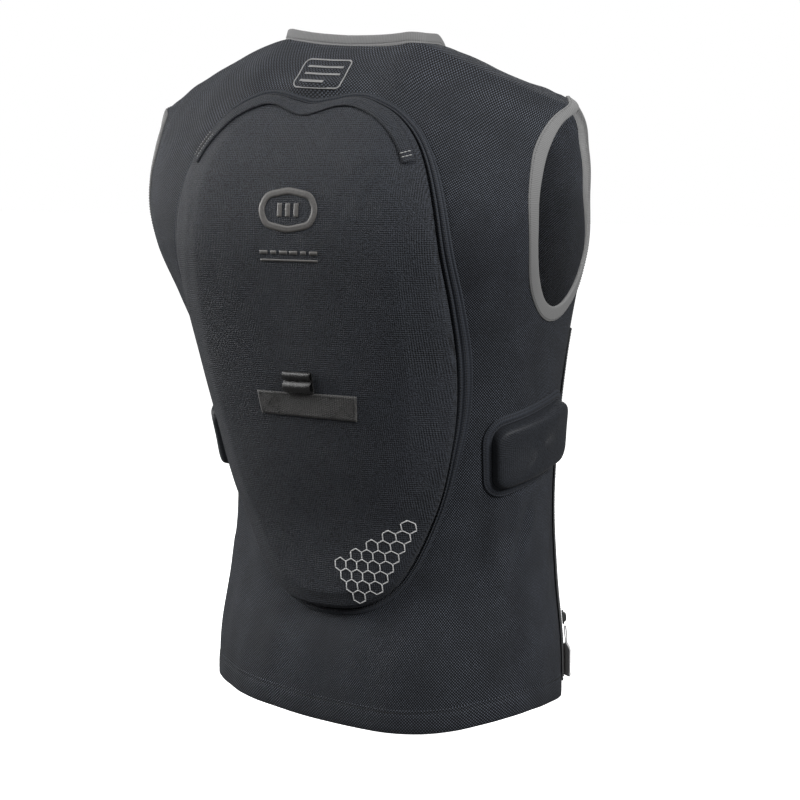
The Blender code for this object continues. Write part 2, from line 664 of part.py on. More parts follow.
def make_zip_pull():
    """Short cord that hangs from the slider and ends in a flat tab."""
    start_z = SLIDER_Z - SLIDER_HEIGHT / 2 - 3 * GAP
    spot, _, out = zip_frame(start_z)
    start = spot + out * (CLEAR + TEETH_HEIGHT + GAP + 0.5 * SLIDER_THICK)
    spot, ahead, out = zip_frame(start_z - CORD_LENGTH)
    top = spot + out * TAB_STAND_OFF
    turn = math.radians(TAB_TURN)
    wide = -ahead * math.cos(turn) + out * math.sin(turn)
    down = np.array([0.0, 0.0, -1.0])
    thin = np.cross(wide, down)
    thin /= np.linalg.norm(thin)
    disc, flat = oval(12, 1.0, 1.0, 1.0, 2.0), oval(12, 1.0, 1.0, 1.0, 5.0)
    rows = [(start, disc, CORD_RADIUS, CORD_RADIUS), (top, disc, CORD_RADIUS, CORD_RADIUS)]
    for k, (share, width, wall) in enumerate(TAB_ROWS):
        rows.append((top + down * TAB_HEIGHT * share, disc if k == 0 else flat,
                     0.5 * TAB_WIDTH * width, 0.5 * TAB_WALL * wall))
    rings = [[centre + wide * w * a + thin * t * b for a, b in shape]
             for centre, shape, w, t in rows]
    loft("zip_pull", rings)


for old in list(bpy.data.objects):
    bpy.data.objects.remove(old)
parts = bpy.data.collections.new("protective_vest")
cutters = bpy.data.collections.new("cutters")
bpy.context.scene.collection.children.link(parts)
bpy.context.scene.collection.children.link(cutters)

make_body_and_bindings()
make_neck_binding()
make_protector()
make_pocket_zip()
make_strip_and_loop()
make_side_pads()
make_side_zip()
make_zip_pull()
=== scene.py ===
"""Looks of the protective vest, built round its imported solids.

The form is worked out above the hem, as in the part's source, and shifted when a mesh is made.
"""

import math

import bmesh
import bpy
import numpy as np
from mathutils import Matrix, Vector
from mathutils.bvhtree import BVHTree


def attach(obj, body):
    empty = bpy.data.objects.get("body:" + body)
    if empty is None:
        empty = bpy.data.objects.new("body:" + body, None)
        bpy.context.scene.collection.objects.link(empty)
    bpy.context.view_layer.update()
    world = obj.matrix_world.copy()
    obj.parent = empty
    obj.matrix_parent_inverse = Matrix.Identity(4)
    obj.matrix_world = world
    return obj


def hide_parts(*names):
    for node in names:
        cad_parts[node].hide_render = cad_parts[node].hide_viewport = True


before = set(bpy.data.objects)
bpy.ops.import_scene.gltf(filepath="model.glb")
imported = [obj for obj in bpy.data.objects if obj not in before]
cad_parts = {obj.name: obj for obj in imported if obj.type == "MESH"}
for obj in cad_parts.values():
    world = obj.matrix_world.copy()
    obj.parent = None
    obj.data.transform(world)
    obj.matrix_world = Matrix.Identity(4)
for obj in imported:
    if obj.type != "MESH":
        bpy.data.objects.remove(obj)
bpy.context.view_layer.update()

# Camera at the photograph's place: behind, towards the wearer's right, a little above level
CAMERA_AZIMUTH, CAMERA_ELEVATION = 212.0, 6.4
CAMERA_DISTANCE, FRAME_WIDTH = 2.2, 0.776
CAMERA_TARGET = (0.0, -0.060, -0.336)
CAMERA_SHIFT = 0.00875

# Sizes of the form, in metres, as in the part's source
LENGTH, HALF_WIDTH, REACH = 0.632, 0.222, 0.160
GAP, CLEAR, PANEL_CLEAR = 0.0004, 0.0008, 0.0018
HEM_RISE, HEM_TILT = 0.0225, 0.005
CREST_Y = 0.375 * REACH
MOUNT = np.array([0.0, CREST_Y, LENGTH - 0.004])
SECTIONS = (
    (0.000, 0.802, 0.770, 0.070, -0.630, 2.3, 2.3),
    (0.095, 0.797, 0.735, 0.065, -0.635, 2.3, 2.3),
    (0.206, 0.757, 0.640, 0.045, -0.640, 2.3, 2.3),
    (0.316, 0.734, 0.625, 0.020, -0.645, 2.3, 2.3),
    (0.427, 0.757, 0.738, 0.040, -0.660, 2.4, 2.3),
    (0.538, 0.815, 0.856, 0.112, -0.662, 2.6, 2.3),
    (0.641, 0.888, 0.944, 0.200, -0.662, 2.9, 2.3),
    (0.741, 0.958, 1.000, 0.275, -0.612, 3.1, 2.4),
    (0.836, 1.000, 0.950, 0.325, -0.438, 3.1, 2.7),
    (0.913, 1.015, 0.820, 0.356, -0.240, 3.0, 3.4),
    (0.968, 1.022, 0.660, 0.372, -0.030, 2.6, 3.8),
    (1.000, 1.022, 0.462, 0.375, 0.220, 2.4, 3.6),
)
NECK_HALF_WIDTH, NECK_BACK, NECK_FRONT, NECK_SQUARE, NECK_MIDDLE = 0.078, 0.021, 0.090, 2.4, 0.002
NECK_BAND_REACH, NECK_BAND_HEIGHT = 0.0048, 0.0100
NECK_FLAT, SHOULDER_SLOPE, SHOULDER_ROUND = 0.070, 0.45, 0.020
SLOPE_FROM, SLOPE_FULL = 0.522, 0.886
FOLD_DEPTH = 0.0035
FOLDS = (
    (139, 0.260, 9, 0.085, 95, -1.00),
    (43, 0.270, 9, 0.090, -95, -0.85),
    (152, 0.200, 7, 0.120, 20, 0.70),
    (30, 0.190, 7, 0.120, -20, 0.70),
    (112, 0.060, 11, 0.070, 0, 0.70),
    (66, 0.055, 11, 0.070, 0, 0.85),
    (262, 0.170, 16, 0.120, 0, -0.85),
    (300, 0.100, 12, 0.110, 0, 0.70),
    (236, 0.110, 12, 0.110, 0, 0.70),
)
ARM_HALF_DEPTH, ARM_UP, ARM_DOWN = 0.0610, 0.0862, 0.094
ARM_LEAN, ARM_FORWARD, ARM_OVER_TIP = 0.04, 0.019, 0.0017
ARM_SQUARE_UP, ARM_SQUARE_DOWN = 1.78, 1.9
BINDING_WIDTH = 0.0125
BINDING_SHARES = {"half_depth": 0.68, "up": 0.44, "down": 1.00}
PANEL_HEIGHT, PANEL_HALF_WIDTH, PANEL_THICK = 0.471, 0.141, 0.030
PANEL_HIGH = LENGTH - 0.055
PANEL_LOW = PANEL_HIGH - PANEL_HEIGHT
PANEL_OUTLINE = (
    (0.000, 0.000), (0.300, 0.014), (0.520, 0.072), (0.700, 0.192), (0.835, 0.318),
    (0.935, 0.440), (0.992, 0.565), (1.000, 0.690), (0.955, 0.808), (0.835, 0.905),
    (0.650, 0.968), (0.450, 0.997), (0.300, 1.003), (0.140, 0.995), (0.000, 0.989),
)
PANEL_SHAPE = (
    (0.000, 0.300, 0.500), (0.090, 0.467, 0.733), (0.220, 0.600, 1.000), (0.380, 0.400, 0.900),
    (0.550, 0.233, 0.767), (0.750, 0.200, 0.700), (0.900, 0.200, 0.533), (1.000, 0.167, 0.267),
)
PANEL_RINGS = (
    (0.00, 1.000, 1.000, 0.00), (0.03, 0.975, 0.990, 0.24), (0.26, 0.740, 0.940, 0.97),
    (0.34, 0.660, 0.830, 1.00), (0.44, 0.560, 0.710, 1.00), (0.54, 0.460, 0.580, 1.00),
    (0.64, 0.360, 0.450, 1.00), (0.74, 0.260, 0.320, 1.00), (0.84, 0.160, 0.190, 1.00),
    (0.94, 0.060, 0.070, 1.00), (1.00, 0.003, 0.004, 1.00),
)
PANEL_MIDDLE = np.array([0.0, 0.5 * (PANEL_LOW + PANEL_HIGH)])
BORDER_WALL, BORDER_WIDTH = 0.0018, 0.011
BORDER_SHARES = ((0.00, 0.45), (0.25, 0.64), (0.45, 1.00), (0.80, 1.00), (1.00, 0.55))
STRIP_LENGTH, STRIP_WIDTH, STRIP_WALL = 0.104, 0.025, 0.0012
STRIP_Z = PANEL_HIGH - 0.2685
LOOP_WIDTH, LOOP_HEIGHT, LOOP_DEPTH, LOOP_WALL = 0.029, 0.0185, 0.0075, 0.0010
PAD_REAR_ANGLE, PAD_LENGTH, PAD_HEIGHT = 145.5, 0.108, 0.076
PAD_MIDDLE_Z, PAD_RISE, PAD_BORDER, PAD_CORNER, PAD_THICK = 0.250, 0.028, 0.0090, 0.016, 0.0135
ZIP_ANGLE_LOW, ZIP_ANGLE_HIGH, ZIP_LOW = 203.0, 210.0, 0.030
ZIP_WIDTH, TEETH_WIDTH, TEETH_HEIGHT, TEETH_PITCH = 0.0220, 0.0056, 0.0026, 0.0016
TOOTH_HALF_SIZE = (0.00052, 0.00088)    # up along the zip, and off the body
SLIDER_WIDTH, SLIDER_HEIGHT, SLIDER_THICK = 0.0096, 0.0140, 0.0042
CORD_LENGTH, CORD_RADIUS = 0.0160, 0.0009
TAB_WIDTH, TAB_HEIGHT, TAB_WALL = 0.0170, 0.0320, 0.0026
TAB_STAND_OFF, TAB_TURN = 0.0060, 22.0

# Creases of the cloth that only the looks have: angle and height share at both ends, half width in
# metres, depth in metres, outward where above zero
CREASES = (
    (174.3, 0.333, 158.8, 0.231, 0.0060, -0.0034),
    (167.5, 0.330, 152.5, 0.215, 0.0050, 0.0016),
    (160.6, 0.324, 154.8, 0.254, 0.0050, -0.0022),
    (181.8, 0.342, 176.4, 0.319, 0.0055, -0.0022),
    (178.0, 0.330, 169.0, 0.262, 0.0050, 0.0014),
    (153.8, 0.337, 138.4, 0.312, 0.0090, -0.0022),
    (138.4, 0.312, 125.5, 0.235, 0.0110, -0.0020),
    (5.7, 0.333, 21.2, 0.231, 0.0060, -0.0030),
    (19.4, 0.324, 27.0, 0.250, 0.0050, -0.0020),
    (197.0, 0.300, 190.0, 0.180, 0.0060, -0.0016),
    (192.0, 0.160, 176.0, 0.075, 0.0080, 0.0016),
    (170.0, 0.130, 150.0, 0.080, 0.0090, -0.0014),
    (228.0, 0.300, 246.0, 0.150, 0.0090, -0.0018),
    (312.0, 0.300, 294.0, 0.150, 0.0090, -0.0018),
    (240.0, 0.620, 262.0, 0.560, 0.0100, -0.0016),
    (300.0, 0.620, 278.0, 0.560, 0.0100, -0.0016),
    (196.0, 0.560, 206.0, 0.440, 0.0080, -0.0016),
    (344.0, 0.560, 334.0, 0.440, 0.0080, -0.0016),
    (158.0, 0.600, 168.0, 0.470, 0.0100, 0.0014),
)

CLOTH_AROUND, HEM_ROWS, BODY_ROWS, SHOULDER_ROWS, CREST_ROWS = 256, 15, 125, 26, 6
HEM_SHARE, SHOULDER_SHARE, SHOULDER_CLOSING = 0.040, 0.84, 1.15
CLOTH_WALL, CLOTH_GIRTH, CREST_LENGTH = 0.0016, 1.17, 0.0233
WAVE_DEPTH = 0.00045
POUCH_X, POUCH_Z, POUCH_HALF_WIDTH, POUCH_HALF_HEIGHT, POUCH_DEPTH = 0.004, 0.5890, 0.032, 0.0062, 0.0062
HEM_WAVES = ((74, 20, 0.0040), (124, 24, -0.0045), (24, 14, -0.0045))    # angle, half angle, lift
# How the worn shoulders differ from the even form: x of a spot and its lift, near the top
SHOULDER_LIFT = ((-0.230, 0.0), (-0.200, -0.0010), (-0.150, -0.0040), (-0.100, -0.0040),
                 (-0.060, -0.0010), (0.000, 0.0010), (0.050, 0.0045), (0.100, 0.0055),
                 (0.180, 0.0055), (0.230, 0.0))
FRONT_LIFT = 0.0080       # the front of both shoulders' tips stands this much higher
SINK, PANEL_SINK = 0.0005, 0.0006    # how far the sewn pieces reach into the gap under them
BINDING_PROUD, BINDING_UNDER = 0.0013, CLOTH_WALL + 0.0010
PANEL_CORNER = 0.0022
FLAP_INSET, FLAP_WIDTH, FLAP_WALL = 0.0012, 0.0105, 0.0016
# Seams and dents of the foam under the cover: both ends, half width and depth
FOAM_SEAMS = (
    (0.128, 0.525, 0.112, 0.475, 0.006, 0.0006), (0.112, 0.475, 0.130, 0.390, 0.006, 0.0006),
    (-0.113, 0.525, -0.130, 0.403, 0.007, 0.0006), (-0.130, 0.403, -0.118, 0.312, 0.007, 0.0007),
    (-0.118, 0.312, -0.093, 0.237, 0.007, 0.0006), (-0.093, 0.237, -0.063, 0.178, 0.007, 0.0005),
    (-0.113, 0.531, -0.070, 0.505, 0.004, -0.0006), (-0.110, 0.528, -0.082, 0.490, 0.004, -0.0005),
    (-0.105, 0.540, -0.050, 0.530, 0.004, -0.0004),
)
PRINT_STEP, PRINT_WALL = 0.0016, 0.00025
NET_CELL = 0.0066
STITCH_SIDES, BINDING_STITCH = 5, {"pitch": 0.0027, "radius": 0.00028}
AMBIENT, FLOOR_GLOW = 0.13, 1.00


def smoothstep(value, low, high):
    t = np.clip((value - low) / (high - low), 0.0, 1.0)
    return t * t * (3.0 - 2.0 * t)


def table(rows, value):
    """Every column after the first, as smooth curves through the rows."""
    rows = np.asarray(rows, float)
    keys = rows[:, 0]
    value = np.clip(np.asarray(value, float), keys[0], keys[-1])
    k = np.clip(np.searchsorted(keys, value) - 1, 0, len(keys) - 2)
    step = keys[k + 1] - keys[k]
    t = (value - keys[k]) / step
    out = []
    for column in rows[:, 1:].T:
        slope = np.gradient(column, keys)
        out.append((2 * t**3 - 3 * t**2 + 1) * column[k] + (t**3 - 2 * t**2 + t) * step * slope[k]
                   + (3 * t**2 - 2 * t**3) * column[k + 1] + (t**3 - t**2) * step * slope[k + 1])
    return out


def shoulder_drop(x):
    """How far the shoulders' line has sloped down at this x."""
    beyond = np.maximum(np.abs(x) - NECK_FLAT, 0.0)
    return SHOULDER_SLOPE * (np.sqrt(beyond**2 + SHOULDER_ROUND**2) - SHOULDER_ROUND)


def slope_share(z):
    """Share of the shoulders' slope that a height has."""
    return smoothstep(z / LENGTH, SLOPE_FROM, SLOPE_FULL)


ARM_Z = (LENGTH - float(shoulder_drop(SECTIONS[-1][1] * HALF_WIDTH))) + ARM_OVER_TIP - ARM_UP
ZIP_HIGH = ARM_Z - ARM_DOWN - BINDING_WIDTH - 0.0095
SLIDER_Z = ZIP_LOW + 0.058


def section(height):
    """Half width, back, side and front in metres, and the two squarenesses."""
    half_width, back, side, front, back_square, front_square = table(SECTIONS, height / LENGTH)
    return (half_width * HALF_WIDTH, back * REACH, side * REACH, front * REACH,
            back_square, front_square)


def plain_point(angle, height):
    """The body's form without its folds; angle in radians from +X over the back."""
    angle, height = np.broadcast_arrays(np.asarray(angle, float), np.asarray(height, float))
    half_width, back, side, front, back_square, front_square = section(height)
    c, s = np.cos(angle), np.sin(angle)
    square = np.where(s >= 0, back_square, front_square)
    x = half_width * np.sign(c) * np.abs(c) ** (2 / square)
    y = side + np.where(s >= 0, back - side, side - front) * np.sign(s) * np.abs(s) ** (2 / square)
    z = height.copy()
    for _ in range(24):
        z = height - shoulder_drop(x) * slope_share(z)
    return np.stack([x, y, z], -1)


def fold_depth(angle, height):
    """Depth of the form's own folds, outward where above zero."""
    share = np.asarray(height, float) / LENGTH
    degrees = np.degrees(np.asarray(angle, float)) % 360.0
    total = np.zeros(np.broadcast(degrees, share).shape)
    for at, level, half_angle, half_height, slant, depth in FOLDS:
        across = (degrees - at - slant * (share - level)) / half_angle
        along = (share - level) / half_height
        total = total + FOLD_DEPTH * depth * np.exp(-across**2 - along**2)
    return total


def normal(angle, height):
    """Outward direction of the form, with its folds left out."""
    step = 1e-3
    around = plain_point(angle + step, height) - plain_point(angle - step, height)
    upward = (plain_point(angle, np.minimum(height + step, LENGTH))
              - plain_point(angle, height - step))
    return unit(np.cross(around, upward))


def body_point(angle, height, off=0.0):
    """Spot on the form with its folds, or a distance off it."""
    lift = fold_depth(angle, height) + off
    return plain_point(angle, height) + normal(angle, height) * np.asarray(lift)[..., None]


def back_angle(x, z):
    """Angle and height of the spot on the back that has this x and z."""
    x, z = np.broadcast_arrays(np.asarray(x, float), np.asarray(z, float))
    height = z + shoulder_drop(x) * slope_share(z)
    half_width, _, _, _, square, _ = section(height)
    c = np.sign(x) * np.minimum(np.abs(x / half_width), 1.0) ** (square / 2)
    return np.arccos(c), height


def on_back(x, z, off):
    """Spot at this x and z a distance off the back."""
    angle, height = back_angle(x, z)
    return body_point(angle, height, off)


def top_height(x, y):
    """Height z of the cloth over a spot near the neck, seen from above."""
    low, high = 0.70 * LENGTH, LENGTH - shoulder_drop(x)
    behind = y >= CREST_Y
    for _ in range(40):
        z = 0.5 * (low + high)
        half_width, back, side, front, back_square, front_square = section(z + shoulder_drop(x))
        square = back_square if behind else front_square
        flat = (1 - min(abs(x / half_width), 1.0) ** square) ** (1 / square)
        if (y < side + (back - side) * flat) if behind else (y > side - (side - front) * flat):
            low = z
        else:
            high = z
    return 0.5 * (low + high)


def line_run(points):
    """Length along a line at each of its points."""
    return np.concatenate([[0.0], np.cumsum(np.linalg.norm(np.diff(points, axis=0), axis=1))])


def looped(points):
    """The points with the first one again at the end."""
    return np.concatenate([points, points[:1]])


def circle(count):
    """Columns with the cosines and sines of evenly spaced turns."""
    turn = np.linspace(0, 2 * math.pi, count, endpoint=False)[:, None]
    return np.cos(turn), np.sin(turn)


def even_angles(count):
    """Angles whose spots are evenly spaced round a typical section."""
    fine = np.linspace(0.0, math.pi / 2, 2001)
    x = np.cos(fine) ** (2 / 2.6)
    y = 0.62 * np.sin(fine) ** (2 / 2.6)
    run = line_run(np.stack([x, y], -1))
    quarter = np.interp(np.linspace(0.0, run[-1], count // 4 + 1), run, fine)
    half = np.concatenate([quarter, math.pi - quarter[-2::-1]])
    return np.concatenate([half, math.pi + half[1:-1]])


def oval(count, half_width, up, down, square, square_down=None):
    """Closed outline round a middle point, counter-clockwise, with its own reach up and down."""
    angle = np.linspace(0.0, 2 * math.pi, count, endpoint=False)
    c, s = np.cos(angle), np.sin(angle)
    square = np.where(s >= 0, square, square_down or square)
    across = half_width * np.sign(c) * np.abs(c) ** (2 / square)
    along = np.where(s >= 0, up, down) * np.sign(s) * np.abs(s) ** (2 / square)
    return np.stack([across, along], -1)


def resampled(points, count=None, step=None, closed=False):
    """Evenly spaced spots on the line through the points."""
    points = np.asarray(points, float)
    if closed:
        points = looped(points)
    run = line_run(points)
    if count is None:
        count = max(2, int(round(run[-1] / step)) + (0 if closed else 1))
    at = np.linspace(0.0, run[-1], count, endpoint=not closed)
    return np.stack([np.interp(at, run, column) for column in points.T], -1)


def closed_curve(points, count):
    """Evenly spaced spots on a smooth closed curve through the points."""
    points = np.asarray(points, float)
    before, after, next_after = (np.roll(points, shift, axis=0) for shift in (1, -1, -2))
    t = np.linspace(0.0, 1.0, 24, endpoint=False)[None, :, None]
    p0, p1, p2, p3 = (p[:, None, :] for p in (before, points, after, next_after))
    fine = 0.5 * (2 * p1 + (p2 - p0) * t + (2 * p0 - 5 * p1 + 4 * p2 - p3) * t**2
                  + (3 * p1 - p0 - 3 * p2 + p3) * t**3)
    return resampled(fine.reshape(-1, points.shape[1]), count, closed=True)


def panel_outline(count):
    """Spots x, z round the back protector, from the middle of its lower end."""
    half = np.array(PANEL_OUTLINE) * (PANEL_HALF_WIDTH, PANEL_HEIGHT)
    other = half[-2:0:-1] * (-1, 1)
    return closed_curve(np.concatenate([half, other]), count) + (0.0, PANEL_LOW)


def panel_height(z):
    """Edge thickness and full thickness of the protector at a height."""
    edge, face = table(PANEL_SHAPE, (z - PANEL_LOW) / PANEL_HEIGHT)
    return edge * PANEL_THICK, face * PANEL_THICK


def grown(outline, distance):
    """Outline moved outward along its own normals, for a counter-clockwise outline."""
    along = np.roll(outline, -1, axis=0) - np.roll(outline, 1, axis=0)
    out = unit(np.stack([along[:, 1], -along[:, 0]], -1))
    return outline + out * np.reshape(distance, (-1, 1))


def lifted_tape(up):
    """Height over the body of a sewn tape's section, whose foot is sunk into the gap."""
    return CLEAR - SINK + (BORDER_WALL + SINK) * up


def pad_frame():
    """Angle on the body for a distance forwards from a pad's rear edge, on the wearer's right."""
    angles = np.radians(np.linspace(PAD_REAR_ANGLE, PAD_REAR_ANGLE + 90, 361))
    spots = plain_point(angles, np.full(len(angles), PAD_MIDDLE_Z))
    return angles, line_run(spots)


def on_side(along, up, off):
    """Spot off the wearer's right side, forwards of the pad's rear edge and up from its middle."""
    angles, run = pad_frame()
    z = PAD_MIDDLE_Z + PAD_RISE * along / PAD_LENGTH + up
    return body_point(np.interp(along, run, angles), z, off)


def rounded_box(length, height, corner, count):
    """Closed outline of a rectangle with round corners, counter-clockwise."""
    half = np.array([length / 2, height / 2])
    spots = []
    for k, (sx, sz) in enumerate(((1, 1), (-1, 1), (-1, -1), (1, -1))):
        for turn in np.linspace(0.0, math.pi / 2, 9):
            angle = turn + k * math.pi / 2
            spots.append((sx * (half[0] - corner) + corner * math.cos(angle),
                          sz * (half[1] - corner) + corner * math.sin(angle)))
    return resampled(spots, count, closed=True)


def zip_angle(share):
    """Where the side zip runs, in degrees, at a share of its height."""
    return ZIP_ANGLE_LOW + (ZIP_ANGLE_HIGH - ZIP_ANGLE_LOW) * share


def zip_frame(z):
    """Spot on the zip's line, with its directions forwards, outward and upward."""
    angle = math.radians(zip_angle((z - ZIP_LOW) / (ZIP_HIGH - ZIP_LOW)))
    ahead, out = unit(plain_point(angle + 0.02, z) - plain_point(angle - 0.02, z)), normal(angle, z)
    up = unit(np.cross(out, ahead))
    return body_point(angle, z), ahead, out, up * math.copysign(1.0, up[2])


def unit(vectors):
    return vectors / np.maximum(np.linalg.norm(vectors, axis=-1, keepdims=True), 1e-12)


# Materials


class Nodes:
    """A material's nodes, with short calls for the maths that the weaves need."""

    def __init__(self, name):
        self.material = bpy.data.materials.new(name)
        self.material.use_nodes = True
        self.tree = self.material.node_tree
        self.shader = self.tree.nodes["Principled BSDF"]
        coordinates = self.add("TexCoord")
        self.uv, self.place = coordinates.outputs["UV"], coordinates.outputs["Object"]

    def add(self, kind, inputs=(), **settings):
        node = self.tree.nodes.new("ShaderNode" + kind)
        for key, value in settings.items():
            setattr(node, key, value)
        for key, value in dict(inputs).items():
            self.put(value, node.inputs[key])
        return node

    def put(self, value, socket):
        if isinstance(value, bpy.types.NodeSocket):
            self.tree.links.new(value, socket)
        else:
            socket.default_value = (*value, 1.0) if socket.type == "RGBA" else value

    def math(self, operation, a, b=0.0, c=0.0):
        return self.add("Math", {0: a, 1: b, 2: c}, operation=operation).outputs[0]

    def split(self, vector, scale):
        """The first two coordinates, in cells of the given size."""
        parts = self.add("SeparateXYZ", {0: vector})
        return [self.math("MULTIPLY", parts.outputs[k], 1.0 / size) for k, size in enumerate(scale)]

    def wave(self, value):
        """A wave of one turn for each cell."""
        return self.math("COSINE", self.math("MULTIPLY", value, 2 * math.pi))

    def noise(self, scale, detail=2.0, vector=None):
        return self.add("TexNoise", {"Vector": vector or self.place, "Scale": scale,
                                     "Detail": detail}).outputs["Fac"]

    def ramp(self, value, low, high, out_low=0.0, out_high=1.0):
        return self.add("MapRange", {"Value": value, "From Min": low, "From Max": high,
                                     "To Min": out_low, "To Max": out_high},
                        interpolation_type="SMOOTHSTEP").outputs[0]

    def mix(self, share, first, second):
        return self.add("Mix", {0: share, 6: first, 7: second}, data_type="RGBA").outputs[2]

    def finish(self, color, roughness, height, depth, sheen=0.0, sheen_roughness=0.5, gloss=0.5):
        bump = self.add("Bump", {"Height": height, "Strength": 1.0, "Distance": depth})
        for key, value in (("Base Color", color), ("Roughness", roughness), ("Sheen Weight", sheen),
                           ("Sheen Roughness", sheen_roughness), ("Specular IOR Level", gloss),
                           ("Normal", bump.outputs[0])):
            self.put(value, self.shader.inputs[key])
        return self.material


def grey(value, warm=0.0):
    """A grey, a little warmer or cooler where asked."""
    return (value * (1 + warm), value, value * (1 - warm))


def cool(value):
    """The bluish near black of the dark cloths."""
    return (value * 0.88, value, value * 1.27)


def knit(name, pitch, dark, light, depth, sheen):
    """Open knit: yarn knots in staggered rows with small holes between them, with painted highlight on the
    knots' tops and painted shade in the holes.
    """
    n = Nodes(name)
    u, v = n.split(n.uv, (pitch, pitch))
    lattice = n.math("MULTIPLY", n.wave(u), n.wave(v))
    height = n.ramp(lattice, -0.70, 0.50)
    fuzz = n.noise(900.0, 2.0)
    strong = n.ramp(n.noise(26.0, 2.0), 0.30, 0.70, 0.60, 1.0)
    # painted highlight: the knots' tops are made lighter where light would catch them, and the holes carry
    # painted shade
    lit = n.math("MULTIPLY", n.ramp(lattice, 0.10, 0.50), n.ramp(fuzz, 0.30, 0.70, 0.55, 1.0))
    color = n.mix(n.math("MULTIPLY", lit, strong), dark, light)
    color = n.mix(n.ramp(strong, 0.60, 1.0, 0.08, 0.0), color, tuple(0.5 * c for c in light))
    rough = n.ramp(fuzz, 0.2, 0.8, 0.62, 0.86)
    return n.finish(color, rough, n.math("MULTIPLY_ADD", fuzz, 0.20, height), depth,
                    sheen, sheen_roughness=0.45, gloss=0.35)


def weave(name, pitch, dark, light, depth, rough=(0.6, 0.8), sheen=0.15, gloss=0.35, diagonal=False):
    """Plain or twilled weave of two threads that pass over and under each other."""
    n = Nodes(name)
    u, v = n.split(n.uv, (pitch, pitch))
    if diagonal:
        v = n.math("ADD", v, n.math("MULTIPLY", u, 0.5))
    across = n.math("MULTIPLY", n.wave(u), n.ramp(n.noise(55.0, 1.0), 0.38, 0.62, 0.14, 0.56))
    shifted = n.add("VectorMath", {0: n.place, 1: (0.7, 0.3, 1.9)}, operation="ADD").outputs[0]
    patches = n.ramp(n.noise(48.0, 1.0, shifted), 0.38, 0.62, 0.12, 0.46)
    upward = n.math("MULTIPLY", n.wave(v), patches)
    grain = n.ramp(n.noise(950.0, 1.0), 0.30, 0.70, -0.50, 0.50)
    threads = n.math("ADD", n.math("ADD", across, upward), grain)
    fuzz = n.noise(1100.0, 2.0)
    broad = n.noise(14.0, 3.0)
    shade = n.math("MULTIPLY", n.ramp(threads, -0.9, 0.9), n.ramp(fuzz, 0.3, 0.7, 0.6, 1.0))
    color = n.mix(shade, dark, light)
    color = n.mix(n.ramp(broad, 0.4, 0.7, 0.0, 0.15), color, tuple(0.8 * c for c in light))
    return n.finish(color, n.ramp(fuzz, 0.2, 0.8, *rough), n.math("MULTIPLY_ADD", fuzz, 0.25, threads),
                    depth, sheen, gloss=gloss)


def ribbed(name, pitch, dark, light, depth, rough=(0.6, 0.8), sheen=0.2, gloss=0.3, cross=0.0011):
    """Ribs across the first direction, with a fine cross thread, for bindings and tapes."""
    n = Nodes(name)
    u, v = n.split(n.uv, (pitch, cross))
    rib = n.ramp(n.wave(u), -0.9, 0.9)
    thread = n.ramp(n.wave(v), -1.0, 1.0)
    fuzz = n.noise(1000.0, 2.0)
    height = n.math("ADD", n.math("MULTIPLY", rib, 0.7), n.math("MULTIPLY", thread, 0.3))
    shade = n.math("MULTIPLY", height, n.ramp(fuzz, 0.2, 0.8, 0.75, 1.0))
    color = n.mix(shade, dark, light)
    broad = n.ramp(n.noise(20.0, 2.0), 0.4, 0.7, 0.0, 0.2)
    color = n.mix(broad, color, tuple(0.85 * c for c in light))
    return n.finish(color, n.ramp(fuzz, 0.2, 0.8, *rough), n.math("MULTIPLY_ADD", fuzz, 0.3, height),
                    depth, sheen, gloss=gloss)


def plain(name, dark, light, rough, scale=600.0, depth=0.00008, gloss=0.5):
    """Smooth material with a fine grain."""
    n = Nodes(name)
    grain = n.noise(scale, 3.0)
    broad = n.noise(25.0, 2.0)
    color = n.mix(n.ramp(n.math("ADD", grain, n.math("MULTIPLY", broad, 0.5)), 0.5, 1.0), dark, light)
    return n.finish(color, n.ramp(grain, 0.25, 0.75, *rough), grain, depth, gloss=gloss)


MATERIALS = {
    "knit": knit("mesh_knit_cloth", 0.0029, cool(0.0005), cool(0.142), 0.0006, 0.04),
    "binding": ribbed("binding_rib", 0.0016, grey(0.175), grey(0.262), 0.00016, sheen=0.2),
    "panel": weave("panel_cloth", 0.0019, cool(0.003), cool(0.061), 0.00034, sheen=0.05),
    "border": ribbed("border_tape_weave", 0.0016, cool(0.008), cool(0.070), 0.00016, sheen=0.05),
    "flap": weave("zip_flap_cloth", 0.0019, cool(0.003), cool(0.060), 0.00026, sheen=0.05),
    "strip": weave("strip_cloth", 0.0021, grey(0.045, 0.02), grey(0.125, 0.02), 0.00020, diagonal=True),
    "satin": ribbed("satin_loop", 0.0008, grey(0.008), grey(0.020), 0.00008, rough=(0.22, 0.36),
                    sheen=0.0, gloss=0.7),
    "pad": weave("pad_cloth", 0.0018, cool(0.008), cool(0.040), 0.00010, rough=(0.5, 0.68),
                 sheen=0.06),
    "tape": weave("zip_tape_cloth", 0.0012, grey(0.040, -0.04), grey(0.130, -0.04), 0.00015, diagonal=True),
    "teeth": plain("zip_teeth_plastic", grey(0.020), grey(0.050), (0.28, 0.42)),
    "slider": plain("slider_plastic", grey(0.030), grey(0.060), (0.32, 0.48)),
    "thread": plain("dark_thread", grey(0.012), grey(0.040), (0.45, 0.65), scale=1500.0),
    "grey_thread": plain("grey_thread", grey(0.120), grey(0.220), (0.5, 0.7), scale=1500.0),
    "light_thread": plain("light_thread", grey(0.32), grey(0.55), (0.5, 0.7), scale=1500.0),
    "cord": ribbed("pull_cord", 0.0011, grey(0.30), grey(0.60), 0.00012, cross=0.0008),
    "tab": plain("pull_tab", grey(0.56), grey(0.72), (0.45, 0.6), gloss=0.4),
    "print": plain("grey_print", grey(0.095, 0.04), grey(0.135, 0.04), (0.42, 0.58)),
    "pale_print": plain("pale_print", grey(0.26), grey(0.36), (0.42, 0.58)),
    "net_print": plain("net_print", grey(0.66), grey(0.82), (0.42, 0.58)),
}


# Meshes


